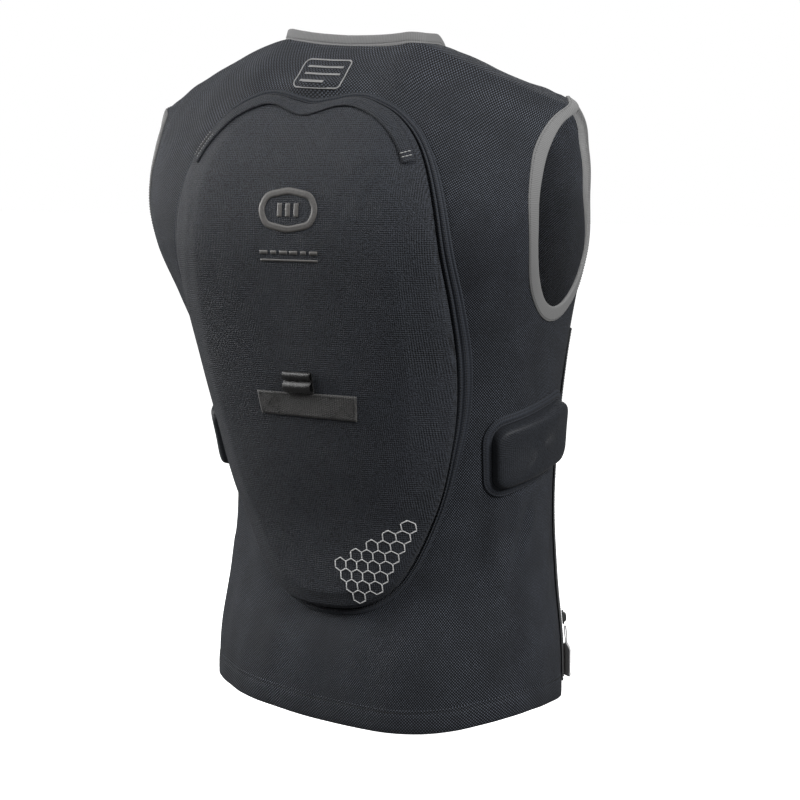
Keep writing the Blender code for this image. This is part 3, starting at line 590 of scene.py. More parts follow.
def worn(spots):
    """Spots of the even form, shifted to where the worn shoulders carry them."""
    x, y, z = spots.T
    lift = np.interp(x, *np.array(SHOULDER_LIFT).T) * smoothstep(z, 0.545, 0.600)
    tip = smoothstep(np.abs(x), 0.150, 0.212) * smoothstep(CREST_Y - 0.006 - y, 0.0, 0.030)
    return np.stack([x, y, z + lift + FRONT_LIFT * tip * smoothstep(z, 0.490, 0.550)], -1)


def linked(name, data):
    """An object of the scene with this data."""
    obj = bpy.data.objects.new(name, data)
    bpy.context.scene.collection.objects.link(obj)
    return obj


def new_object(name, vertices, faces, material, slot=None, uv=None, replaces=(), recalc=True):
    """A smooth-shaded object that rides with the part; uv has one pair for each face corner."""
    mesh = bpy.data.meshes.new(name)
    vertices = worn(np.asarray(vertices, float).reshape(-1, 3)) - MOUNT
    mesh.from_pydata(vertices.tolist(), [], [list(map(int, f)) for f in faces])
    if uv is None:
        corner = np.zeros(len(mesh.loops), np.int32)
        mesh.loops.foreach_get("vertex_index", corner)
        uv = vertices[corner][:, [0, 2]]
    layer = mesh.uv_layers.new(name="UVMap")
    layer.data.foreach_set("uv", np.asarray(uv, np.float32).ravel())
    if recalc:
        shape = bmesh.new()
        shape.from_mesh(mesh)
        bmesh.ops.recalc_face_normals(shape, faces=shape.faces)
        shape.to_mesh(mesh)
        shape.free()
    mesh.polygons.foreach_set("use_smooth", np.ones(len(mesh.polygons), bool))
    mesh.materials.append(MATERIALS[material])
    obj = linked(name, mesh)
    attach(obj, "root")
    if replaces:
        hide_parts(*replaces)
    return obj


def grid_parts(points, around=False, rounds=False, uv=None):
    """Faces and corner coordinates of a grid of points; uv in metres follows the grid's runs."""
    points = np.asarray(points, float)
    rows, columns = points.shape[:2]
    if uv is None:
        def run(axis):
            step = np.diff(points, axis=axis, append=np.take(points, [0], axis=axis))
            return np.concatenate([[0.0], np.cumsum(np.linalg.norm(step, axis=-1).mean(axis=1 - axis))])
        uv = np.stack(np.meshgrid(run(1), run(0)), -1)
    row, column = np.meshgrid(np.arange(rows if rounds else rows - 1),
                              np.arange(columns if around else columns - 1), indexing="ij")
    corners = ((row, column), (row, column + 1), (row + 1, column + 1), (row + 1, column))
    faces = np.stack([(a % rows) * columns + b % columns for a, b in corners], -1).reshape(-1, 4)
    where = np.stack([uv[a, b] for a, b in corners], -2).reshape(-1, 4, 2)
    return faces, where


def grid_object(name, points, material, around=False, rounds=False, caps=False, uv=None, **more):
    """An object from a grid of points, closed along its rows, across them or with two end faces."""
    points = np.asarray(points, float)
    rows, columns = points.shape[:2]
    faces, where = grid_parts(points, around, rounds, uv)
    faces, where = faces.tolist(), where.reshape(-1, 2)
    if caps:
        faces += [range(columns), range((rows - 1) * columns, rows * columns)]
        where = np.concatenate([where] + [np.zeros((columns, 2)) + where[0]] * 2)
    return new_object(name, points, faces, material, uv=where, **more)


def merged(name, pieces, material, **more):
    """One object from several lists of vertices and faces."""
    vertices, faces, start = [], [], 0
    for spots, own in pieces:
        vertices.append(np.asarray(spots, float).reshape(-1, 3))
        faces += [[int(i) + start for i in f] for f in own]
        start += len(vertices[-1])
    return new_object(name, np.concatenate(vertices), faces, material, **more)


def thicken(obj, thickness):
    """Gives a sheet its wall, on the inner side, in the mesh itself."""
    solid = obj.modifiers.new("wall", "SOLIDIFY")
    solid.thickness, solid.offset, solid.use_even_offset = thickness, -1.0, True
    depsgraph = bpy.context.evaluated_depsgraph_get()
    mesh = bpy.data.meshes.new_from_object(obj.evaluated_get(depsgraph), preserve_all_data_layers=True,
                                           depsgraph=depsgraph)
    obj.modifiers.clear()
    obj.data = mesh


def stitch_parts(line, outs, pitch=0.0030, share=0.70, radius=0.00034):
    """Small raised stitches along a line; outs are the outward directions along it."""
    line, outs = np.asarray(line, float), np.asarray(outs, float)
    run = line_run(line)
    count = max(1, int(run[-1] / pitch))
    middle = (np.arange(count) + 0.5) * run[-1] / count
    half = 0.5 * share * run[-1] / count

    def at(values, where):
        return np.stack([np.interp(where, run, column) for column in values.T], -1)

    first, last = at(line, middle - half), at(line, middle + half)
    out, along = unit(at(outs, middle)), unit(last - first)
    side = unit(np.cross(along, out))
    cosine, sine = circle(STITCH_SIDES)
    rings = []
    for t, width, lift in ((0.0, 0.45, 0.0), (0.5, 1.0, 1.0), (1.0, 0.45, 0.0)):
        centre = first + (last - first) * t + out * radius * (lift * 0.7 - 0.35)
        rings.append(centre[:, None] + radius * width * (cosine * side[:, None] + sine * out[:, None]))
    vertices = np.stack(rings, 1).reshape(-1, 3)
    size = 3 * STITCH_SIDES
    one, _ = grid_parts(np.zeros((3, STITCH_SIDES, 3)), around=True)
    one = one.tolist() + [range(STITCH_SIDES), range(2 * STITCH_SIDES, size)]
    return vertices, [[i + k * size for i in f] for k in range(count) for f in one]


def surface(vertices, faces):
    """Tree of a surface in the even form, to lay bindings and prints on."""
    return BVHTree.FromPolygons([Vector(v) for v in vertices], [tuple(int(i) for i in f) for f in faces])


def cast(tree, start, direction):
    """Spot and outward direction where a line meets a surface."""
    spot, out, _, _ = tree.ray_cast(Vector(start), Vector(direction))
    if spot is None:
        spot, out, _, _ = tree.find_nearest(Vector(start))
    if out.dot(Vector(direction)) > 0:
        out = -out
    return np.array(spot), np.array(out)


# Cloth of the body


def hem_height(angles, share):
    """Height at a share of the length, with the hem's own rise and waves below."""
    degrees = np.degrees(angles) % 360.0
    rise = HEM_RISE * np.cos(angles) ** 2 + HEM_TILT * np.cos(angles)
    for at, half, lift in HEM_WAVES:
        rise = rise + lift * np.exp(-((degrees - at) / half) ** 2)
    return share * LENGTH + rise * (1 - share) ** 3


PANEL_RIM = panel_outline(360)
RIM_TURN = np.arctan2(*(PANEL_RIM - PANEL_MIDDLE).T)
RIM_REACH = np.linalg.norm(PANEL_RIM - PANEL_MIDDLE, axis=1)
RIM_ORDER = np.argsort(RIM_TURN)


def outside_panel(x, z):
    """How far a spot of the back lies outside the protector's outline, measured from its middle."""
    away = np.stack([x, z], -1) - PANEL_MIDDLE
    turn = np.arctan2(away[..., 0], away[..., 1])
    reach = np.interp(turn, RIM_TURN[RIM_ORDER], RIM_REACH[RIM_ORDER], period=2 * math.pi)
    return np.linalg.norm(away, axis=-1) - reach


def crease_depth(spots):
    """Depth of the finer creases at spots of the form."""
    total = np.zeros(spots.shape[:-1])
    for start_angle, start_share, end_angle, end_share, half, depth in CREASES:
        t = np.linspace(0.0, 1.0, 9)
        line = plain_point(np.radians(start_angle + (end_angle - start_angle) * t),
                           LENGTH * (start_share + (end_share - start_share) * t))
        start, step = line[:-1], line[1:] - line[:-1]
        away = spots[..., None, :] - start
        length = (step**2).sum(-1)
        share = np.clip((away * step).sum(-1) / length, 0.0, 1.0)
        gap = np.linalg.norm(away - share[..., None] * step, axis=-1)
        nearest = gap.argmin(-1)
        along = (nearest + np.take_along_axis(share, nearest[..., None], -1)[..., 0]) / len(start)
        gap = gap.min(-1)
        fade = np.sin(np.pi * np.clip(along * 0.86 + 0.07, 0, 1)) ** 0.7
        total = total + depth * fade * np.exp(-(gap / half) ** 2)
    return total


def cloth_depth(angle, height):
    """Everything that the looks add to the form: creases, small waves and the pouch at the top."""
    angle, height = np.broadcast_arrays(np.asarray(angle, float), np.asarray(height, float))
    spots = plain_point(angle, height)
    x, z = spots[..., 0], spots[..., 2]
    back = np.sin(angle) > 0
    free = np.where(back, smoothstep(outside_panel(x, z), 0.004, 0.022), 1.0)
    degrees = np.degrees(angle) % 360.0
    zip_at = zip_angle(np.clip((z - ZIP_LOW) / (ZIP_HIGH - ZIP_LOW), 0, 1))
    free = free * smoothstep(np.abs(degrees - zip_at), 3.0, 8.0)
    total = crease_depth(spots) * free
    waves = (np.sin(degrees * 0.21 + 9.0 * height) * np.sin(31.0 * height + degrees * 0.05)
             + 0.6 * np.sin(degrees * 0.47 - 23.0 * height + 1.3) * np.sin(17.0 * height + 0.7))
    total = total + WAVE_DEPTH * waves * free
    pouch = np.exp(-((x - POUCH_X) / POUCH_HALF_WIDTH) ** 2 - ((z - POUCH_Z) / POUCH_HALF_HEIGHT) ** 2)
    return total + POUCH_DEPTH * pouch * back


def cloth_point(angle, height, off=0.0):
    """Spot on the cloth, or a distance off it."""
    return body_point(angle, height, cloth_depth(angle, height) + off)


def crest_point(angle, share):
    """Spot on the line of the shoulders, from the back (0) to the front (1); angle from 0 to pi."""
    top = np.full(np.shape(angle), LENGTH)
    back, front = cloth_point(angle, top), cloth_point(2 * math.pi - angle, top)
    share = np.asarray(share)[..., None]
    width = np.linalg.norm(back - front, axis=-1, keepdims=True)
    return back + (front - back) * share + np.array([0, 0, 0.22]) * width * share * (1 - share)


def arm_margins(grow):
    """Half depth, reach up and reach down of the armhole's outline, grown by the binding's shares."""
    return [size + BINDING_SHARES[key] * grow for size, key in (
        (ARM_HALF_DEPTH, "half_depth"), (ARM_UP, "up"), (ARM_DOWN, "down"))]


def arm_outline(grow, count):
    """Pairs of y and z round the armhole, grown by a share of the binding."""
    shape = oval(count, *arm_margins(grow), ARM_SQUARE_UP, ARM_SQUARE_DOWN)
    y = CREST_Y - ARM_FORWARD + shape[:, 0] + ARM_LEAN * shape[:, 1]
    return np.stack([y, ARM_Z + shape[:, 1]], -1)


def arm_field(spots, grow):
    """Below zero inside the armhole's outline, for spots on either side."""
    half_depth, up, down = arm_margins(grow)
    z = spots[..., 2] - ARM_Z
    y = spots[..., 1] - (CREST_Y - ARM_FORWARD) - ARM_LEAN * z
    square = np.where(z >= 0, ARM_SQUARE_UP, ARM_SQUARE_DOWN)
    reach = np.where(z >= 0, up, down)
    value = (np.abs(y / half_depth) ** square + np.abs(z / reach) ** square) ** (1 / square) - 1
    return np.where(np.abs(spots[..., 0]) > 0.45 * HALF_WIDTH, value, 1.0) * 0.07


def neck_field(spots):
    """Below zero inside the neck's outline."""
    x, y = spots[..., 0] - NECK_MIDDLE, spots[..., 1] - CREST_Y
    reach = np.where(y >= 0, NECK_BACK, NECK_FRONT)
    value = (np.abs(x / NECK_HALF_WIDTH) ** NECK_SQUARE
             + np.abs(y / reach) ** NECK_SQUARE) ** (1 / NECK_SQUARE) - 1
    return np.where(spots[..., 2] > 0.75 * LENGTH, value, 1.0) * 0.05


def opening_field(spots):
    """Below zero in the neck's and the armholes' openings."""
    return np.minimum(arm_field(spots, 0.30 * BINDING_WIDTH), neck_field(spots))


def settle(point_at, first, second, locked):
    """Moves spots along the surface onto the edge of an opening; locked ones only along the first."""
    on_crest = point_at is crest_point
    step, other_step = 1e-4, 1e-5 if on_crest else 1e-4
    weight, other_weight = 25.0, 0.0005 if on_crest else 1.0
    for _ in range(12):
        value = opening_field(point_at(first, second))
        slope = (opening_field(point_at(first + step, second)) - value) / step
        other = (opening_field(point_at(first, second - other_step)) - value) / -other_step
        other = np.where(locked, 0.0, other)
        steepness = np.maximum(slope ** 2 * weight + other ** 2 * other_weight, 1e-9)
        move = np.clip(value, -0.004, 0.004) / steepness
        first = first - move * slope * weight
        second = second - move * other * other_weight
    return first, second


def make_cloth():
    """The knitted body: a fine grid cut along the openings, with its wall; gives its even surface."""
    angles = even_angles(CLOTH_AROUND)
    left = 1.0 - np.linspace(0.0, 1.0, SHOULDER_ROWS + 1)[1:]
    shares = np.concatenate([np.linspace(0.0, HEM_SHARE, HEM_ROWS),
                             np.linspace(HEM_SHARE, SHOULDER_SHARE, BODY_ROWS + 1)[1:],
                             1.0 - (1.0 - SHOULDER_SHARE) * left ** SHOULDER_CLOSING])
    angle, share = np.meshgrid(angles, shares)
    half = CLOTH_AROUND // 2
    crest_angle, crest_share = np.meshgrid(angles[:half + 1], np.linspace(0, 1, CREST_ROWS + 1))
    column = np.arange(CLOTH_AROUND + 1) * CLOTH_GIRTH / CLOTH_AROUND
    side_uv = np.stack(np.meshgrid(column, np.append(shares, 1.0) * LENGTH), -1)
    crest_uv = np.stack([np.broadcast_to(column[:half + 1], crest_share.shape),
                         LENGTH + CREST_LENGTH * crest_share], -1)

    vertices, kept, coordinates, even_points, even_faces, start = [], [], [], [], [], 0
    for rule, first, second, locked, uv in (
            (cloth_point, angle, hem_height(angle, share), share == 1.0, side_uv),
            (crest_point, crest_angle, crest_share, crest_share % 1.0 == 0.0, crest_uv)):
        points = rule(first, second)
        faces, where = grid_parts(points, around=rule is cloth_point, uv=uv)
        field = opening_field(points).ravel()
        inside = field[faces].mean(1) < 0
        used, dropped = np.zeros((2, len(field)), bool)
        used[faces[~inside]] = True
        dropped[faces[inside]] = True
        edge = np.flatnonzero(used & dropped)
        spots = points.reshape(-1, 3).copy()
        moved = rule(*settle(rule, first.ravel()[edge], second.ravel()[edge], locked.ravel()[edge]))
        near = np.linalg.norm(moved - spots[edge], axis=1) < 0.009
        spots[edge[near]] = moved[near]
        vertices.append(spots)
        kept.append(faces[~inside] + start)
        coordinates.append(where[~inside].reshape(-1, 2))
        even_points.append(points.reshape(-1, 3))
        even_faces.append(faces + start)
        start += len(spots)

    obj = new_object("vest_cloth", np.concatenate(vertices), np.concatenate(kept).tolist(), "knit",
                     "mesh_knit", np.concatenate(coordinates), ["vest_body"], recalc=False)
    shape = bmesh.new()
    shape.from_mesh(obj.data)
    bmesh.ops.remove_doubles(shape, verts=shape.verts, dist=2e-5)
    bmesh.ops.dissolve_degenerate(shape, dist=1e-6, edges=shape.edges)
    bmesh.ops.delete(shape, geom=[v for v in shape.verts if not v.link_faces], context="VERTS")
    bmesh.ops.recalc_face_normals(shape, faces=shape.faces)
    outward = 0.0
    for face in list(shape.faces)[:2000]:
        middle = face.calc_center_median()
        outward += (middle - Vector((0, -0.06, middle.z))).dot(face.normal)
    if outward < 0:
        bmesh.ops.reverse_faces(shape, faces=shape.faces)
    shape.to_mesh(obj.data)
    shape.free()
    thicken(obj, CLOTH_WALL)
    return surface(np.concatenate(even_points), np.concatenate(even_faces))


def make_hem():
    """Stitch rows of the folded hem, and the lap that they hold."""
    angle = np.linspace(0, 2 * math.pi, 721)
    rows = []
    for level in (0.0186, 0.0204):
        height = hem_height(angle, level / LENGTH)
        rows.append(stitch_parts(cloth_point(angle, height, 0.0002), normal(angle, height), 0.0028))
    merged("hem_stitches", rows, "thread", slot="mesh_knit")
    angle = np.linspace(0, 2 * math.pi, 512, endpoint=False)
    points = []
    for up, lift in ((0.0000, -0.0006), (-0.0004, 0.0002), (0.0003, 0.0007), (0.0060, 0.0009),
                     (0.0130, 0.0009), (0.0176, 0.0007), (0.0186, 0.0001), (0.0196, 0.0005),
                     (0.0216, 0.0004), (0.0222, -0.0003)):
        height = hem_height(angle, 0.0) + up
        spot = cloth_point(angle, np.maximum(height, 0.0), lift)
        spot[:, 2] += np.minimum(height, 0.0)
        points.append(spot)
    grid_object("hem_band", points, "knit", around=True, slot="mesh_knit")


# Bindings


def band_section():
    """Share of the width and lift of a folded band's section, round its two edges."""
    over = [(s, BINDING_PROUD * (1.0 - 0.25 * (2 * s - 1) ** 4)) for s in np.linspace(0.03, 0.97, 9)]
    edge = 0.35 * (BINDING_PROUD + BINDING_UNDER) / BINDING_WIDTH
    turns = ((1.0, 0.35 * BINDING_PROUD), (1.0, -0.5 * BINDING_UNDER), (0.96, -BINDING_UNDER),
             (0.5, -BINDING_UNDER), (0.04, -BINDING_UNDER), (-0.6 * edge, -0.55 * BINDING_UNDER),
             (-0.85 * edge, 0.0), (-0.5 * edge, 0.65 * BINDING_PROUD))
    return [*over, *turns]


def make_arm_binding(side, tree):
    """Binding round one armhole, laid on the cloth; gives its stitches."""
    label = "left" if side > 0 else "right"
    casts = np.array([[cast(tree, (side * 0.5, y, z), (-side, 0, 0))
                       for y, z in resampled(arm_outline(share * BINDING_WIDTH, 720), 360, closed=True)]
                      for share in np.linspace(0.0, 1.0, 7)])
    spots, outs = casts[:, :, 0], casts[:, :, 1]
    for _ in range(12):
        spots[..., 0] = (np.roll(spots, 1, 1) + np.roll(spots, -1, 1) + 2 * spots)[..., 0] / 4
    out = unit(np.cross(np.roll(spots, -1, 1) - np.roll(spots, 1, 1), np.gradient(spots, axis=0)))
    out *= np.sign((out * outs).sum(-1, keepdims=True).mean((0, 1), keepdims=True))
    away = unit(spots[-1] - spots[0])

    def at(share, lift):
        inside = min(max(share, 0.0), 1.0)
        k = min(int(inside * 6), 5)
        t = inside * 6 - k
        spot = spots[k] * (1 - t) + spots[k + 1] * t
        direction = unit(out[k] * (1 - t) + out[k + 1] * t)
        lift = lift + 0.0006 * smoothstep(direction[:, 2:], 0.35, 0.75) * (lift > 0)
        return spot + direction * lift + away * (share - inside) * BINDING_WIDTH

    grid_object("armhole_band_" + label, [at(share, lift) for share, lift in band_section()], "binding",
                around=True, rounds=True, slot="binding", replaces=["armhole_binding_" + label])
    return stitch_parts(looped(at(0.84, 0.0014)), looped(out[5]), **BINDING_STITCH)


def make_neck_band():
    """Standing band round the neck; gives its stitches."""
    outline = oval(960, NECK_HALF_WIDTH, NECK_BACK, NECK_FRONT, NECK_SQUARE) + (NECK_MIDDLE, CREST_Y)
    outline = resampled(outline, 320, closed=True)
    outward = unit(grown(outline, 1.0) - outline)
    heights = np.array([top_height(x, y) for x, y in outline])
    for _ in range(12):
        heights = (np.roll(heights, 1) + np.roll(heights, -1) + 2 * heights) / 4

    def at(out, up):
        return np.column_stack([outline + outward * out * NECK_BAND_REACH, heights + up * NECK_BAND_HEIGHT])

    points = [at(out, up) for out, up in (
        (0.00, -0.29), (0.10, -0.15), (0.12, 0.00), (0.06, 0.11), (-0.08, 0.16), (-0.05, 0.26),
        (-0.14, 0.45), (-0.26, 0.68), (-0.36, 0.84), (-0.46, 0.95), (-0.60, 1.00), (-0.76, 0.99),
        (-0.90, 0.93), (-0.93, 0.80), (-0.86, 0.50), (-0.76, 0.20), (-0.66, -0.10), (-0.60, -0.29))]
    grid_object("neck_band", points, "binding", around=True, rounds=True, slot="binding",
                replaces=["neck_binding"])
    direction = np.column_stack([outward, np.full(len(outward), 0.25)])
    return stitch_parts(looped(at(-0.03, 0.24)), looped(direction), **BINDING_STITCH)


# Back protector


def panel_spots(outline, t):
    """Places x, z and the rise of the protector's face at a share of the way inwards."""
    keys, *columns = np.array(PANEL_RINGS).T
    shifts = (-0.018, -0.009, 0.0, 0.009, 0.018)
    across, along, rise = (np.mean([np.interp(t + shift, keys, column) for shift in shifts])
                           for column in columns)
    return PANEL_MIDDLE + (outline - PANEL_MIDDLE) * (across, along), rise


def face_lift(x, z):
    """Soft unevenness of the protector's face: plates of foam under the cover."""
    lift = 0.0
    for x0, z0, x1, z1, half, depth in FOAM_SEAMS:
        dx, dz = x1 - x0, z1 - z0
        t = np.clip(((x - x0) * dx + (z - z0) * dz) / (dx * dx + dz * dz), 0, 1)
        gap = np.hypot(x - x0 - t * dx, z - z0 - t * dz)
        lift = lift + depth * np.exp(-(gap / half) ** 2)
    return lift + WAVE_DEPTH * (np.sin(38 * x + 11 * z) * np.sin(21 * z - 9 * x + 0.5)
                                + 0.5 * np.sin(71 * x - 33 * z + 1.1) * np.sin(57 * z + 0.4))


def make_protector():
    """The protector in its cover; gives the surface that the prints are laid on."""
    count = 320
    outline = panel_outline(count)
    edge, _ = panel_height(outline[:, 1])
    rings = [(panel_spots(outline, t)[0], PANEL_CLEAR - PANEL_SINK)
             for t in (0.94, 0.74, 0.54, 0.34, 0.20, 0.10, 0.03)]
    for inward, up in ((0.0024, 0.0), (0.0010, 0.0), (0.0004, 0.15), (0.0, 0.35), (-0.0004, 0.60)):
        rings.append((grown(outline, -inward - GAP), PANEL_CLEAR - PANEL_SINK + edge * up))
    for turn in np.radians((10, 30, 50, 70)):
        rings.append((grown(outline, -GAP - PANEL_CORNER * (1 - math.cos(turn))),
                      PANEL_CLEAR + edge - PANEL_CORNER * (1 - math.sin(turn)) * np.minimum(1, edge / 0.006)))
    for t in np.concatenate([np.linspace(0.022, 0.30, 34), np.linspace(0.30, 1.0, 47)[1:]]):
        ring, rise = panel_spots(outline, t)
        low, full = panel_height(ring[:, 1])
        rings.append((ring, PANEL_CLEAR + low + (full - low) * np.clip(rise, 0.0, 1.02)
                      + face_lift(*ring.T) * smoothstep(t, 0.02, 0.10)))
    points = np.array([on_back(*ring.T, lift) for ring, lift in rings])
    uv = np.pad(points[..., [0, 2]], ((0, 1), (0, 1), (0, 0)), mode="wrap")
    obj = grid_object("back_protector_cover", points, "panel", around=True, caps=True, uv=uv,
                      slot="panel_weave", replaces=["back_protector"])
    faces, _ = grid_parts(points, around=True)
    points = points.reshape(-1, 3)
    return surface(points, [*faces[7 * count:], range(len(points) - count, len(points))])


def make_border():
    """Flat tape round the protector; gives its two rows of stitches."""
    outline = panel_outline(420)
    width = table(BORDER_SHARES, (outline[:, 1] - PANEL_LOW) / PANEL_HEIGHT)[0] * BORDER_WIDTH
    points = []
    for across, up in ((0.0, 0.0), (0.0, 0.35), (0.05, 0.50), (0.10, 0.95), (0.20, 1.05), (0.30, 0.95),
                       (0.36, 0.45), (0.42, 0.95), (0.55, 1.10), (0.68, 1.05), (0.76, 0.90),
                       (0.82, 0.50), (0.88, 0.85), (0.95, 0.80), (1.0, 0.45), (1.0, 0.0)):
        points.append(on_back(*grown(outline, GAP + (width - GAP) * across).T, lifted_tape(up)))
    grid_object("protector_border_tape", points, "border", around=True, rounds=True, slot="border_tape",
                replaces=["protector_border"])
    rows = []
    for across in (0.20, 0.60):
        angle, height = back_angle(*looped(grown(outline, GAP + (width - GAP) * across)).T)
        rows.append(stitch_parts(body_point(angle, height, CLEAR + BORDER_WALL * 1.05),
                                 normal(angle, height), 0.0034, share=0.55, radius=0.00050))
    return rows


def bevel_path(count):
    """Spots along the protector's upper edge, measured from the middle of its face."""
    outline = panel_outline(1600)
    away = outline[(outline[:, 1] - PANEL_LOW) / PANEL_HEIGHT > 0.885]
    turn = np.arctan2(*(away - PANEL_MIDDLE).T)
    return resampled(away[np.argsort(turn)], count) - PANEL_MIDDLE


def make_pocket_zip():
    """Cover of the pocket's zip along the protector's upper edge; gives its stitches and bar tacks."""
    path = bevel_path(220)
    start, end = np.array(PANEL_RINGS[1][1:]), np.array(PANEL_RINGS[2][1:])

    def spot_at(spot, across, up):
        bevel = np.linalg.norm(spot * (start[:2] - end[:2]))
        first = FLAP_INSET / bevel
        last = min(0.97, first + FLAP_WIDTH / bevel)
        along = start + (end - start) * (first + (last - first) * across)
        x, z = PANEL_MIDDLE + spot * along[:2]
        edge, face = panel_height(z)
        return on_back(x, z, PANEL_CLEAR + edge + (face - edge) * along[2] + GAP + FLAP_WALL * up)

    def outward(spot, across):
        return unit(spot_at(spot, across, 2.0) - spot_at(spot, across, 0.0))

    def along_path(spots, across, up, out_across, pitch, **more):
        return stitch_parts([spot_at(spot, across, up) for spot in spots],
                            [outward(spot, out_across) for spot in spots], pitch, **more)

    section = ((0.00, 0.0), (0.00, 0.7), (0.06, 1.0), (0.20, 1.15), (0.40, 1.2), (0.62, 1.2), (0.80, 1.1),
               (0.93, 0.95), (1.00, 0.6), (1.00, 0.0))
    grid_object("pocket_zip_cover", [[spot_at(spot, *place) for place in section] for spot in path],
                "flap", around=True, caps=True, slot="border_tape", replaces=["pocket_zip"])
    lines = [along_path(path[3:-3], across, 1.05, across, 0.0027, radius=0.00030) for across in (0.12, 0.90)]
    tacks = []
    for spot in (path[4], path[7]):
        line = [spot_at(spot, across, 1.35) for across in np.linspace(0.1, 0.95, 6)]
        tacks.append(stitch_parts(line, [outward(spot, 0.5)] * 6, 0.0030, share=0.95, radius=0.0006))
    slit = path[-24:-3]
    lines.append(along_path(slit, 0.30, 1.3, 0.3, 0.030, share=1.0, radius=0.0009))
    for across in (0.05, 0.60):
        tacks.append(along_path(slit, across, 1.2, 0.3, 0.0026, share=0.6, radius=0.00035))
    return lines, tacks


# Strip and loop


def face_frame(x, z):
    """Spot on the protector's true face and outward direction."""
    lift = PANEL_CLEAR + GAP + panel_height(z)[1]
    angle, height = back_angle(x, z)
    return body_point(angle, height, lift), normal(angle, height)


def strip_spot(x, z):
    """Place on the face for a spot of the strip, which is sewn on a little out of square."""
    across, up = x / (STRIP_LENGTH / 2), z / (STRIP_WIDTH / 2)
    slant = np.where(across > 0, -0.0059 + 0.0012 * up, -0.0024 - 0.0015 * up)
    low = 0.0030 + 0.0010 * across
    return x + slant * np.abs(across), STRIP_Z + z + low * (1 - up) / 2


def make_strip():
    """Woven strip across the protector; gives its stitches, crossed at both ends."""
    half_length, half_width = STRIP_LENGTH / 2, STRIP_WIDTH / 2
    x = np.linspace(-half_length, half_length, 61)
    z = STRIP_Z + np.linspace(-half_width, half_width, 17)
    gx, gz = np.meshgrid(x, z)
    spot, out = face_frame(*strip_spot(gx, gz - STRIP_Z))
    rim = np.minimum(half_length - np.abs(gx), half_width - np.abs(gz - STRIP_Z))
    lift = STRIP_WALL * (0.55 + 0.45 * smoothstep(rim, 0.0, 0.0012))
    lift = lift + 0.0003 * np.sin(gx * 160) * np.sin(gz * 210)
    uv = np.stack(np.meshgrid(np.append(x, x[-1]), np.append(z, z[-1])), -1)
    thicken(grid_object("woven_strip", spot + out * lift[..., None], "strip", uv=uv, slot="strip_weave",
                        replaces=["reflective_strip"]), STRIP_WALL * 0.8)

    def line(x0, z0, x1, z1):
        t = np.linspace(0, 1, 12)
        spot, out = face_frame(*strip_spot(x0 + (x1 - x0) * t, z0 + (z1 - z0) * t))
        return stitch_parts(spot + out * (STRIP_WALL + 0.0001), out, 0.0024)

    far, tall = half_length - 0.0022, half_width - 0.0022
    near = far - 0.021
    rows = [line(-far, side * tall, far, side * tall) for side in (-1, 1)]
    for side in (-1, 1):
        rows += [line(side * x0, z0, side * x1, z1) for x0, z0, x1, z1 in (
            (far, -tall, far, tall), (near, -tall, near, tall),
            (far, -tall, near, tall), (far, tall, near, -tall))]
    return rows


def make_loop():
    """Folded glossy tape over the strip's upper edge: a flattened roll with rounded turns."""
    outline = np.array(((0.02, 0.04), (0.45, 0.00), (0.88, 0.04), (1.00, 0.24), (1.00, 0.56), (0.90, 0.78),
                        (0.76, 0.80), (0.65, 0.62), (0.585, 0.44), (0.53, 0.70), (0.40, 0.98), (0.22, 1.00),
                        (0.08, 0.78), (0.00, 0.40)))
    outer = closed_curve(outline * (LOOP_HEIGHT, LOOP_DEPTH), 56) + (STRIP_Z + STRIP_WIDTH / 2 + GAP, 0.0)
    inner = grown(outer, -LOOP_WALL)
    across = np.concatenate([[-1, -0.985], np.linspace(-0.95, 0.95, 15), [0.985, 1]]) * LOOP_WIDTH / 2
    rows = []
    for edge, order, narrowing in ((outer, across, 0.10), (inner, across[::-1], 0.0)):
        for x in order:
            swell = 1.0 - narrowing * (abs(x) / (LOOP_WIDTH / 2)) ** 6
            spot, out = face_frame(x, edge[:, 0])
            rows.append(spot + out * (edge[:, 1] * swell)[:, None])
    grid_object("folded_loop", rows, "satin", around=True, rounds=True, slot="satin_tape",
                replaces=["tape_loop"])


# Side pads


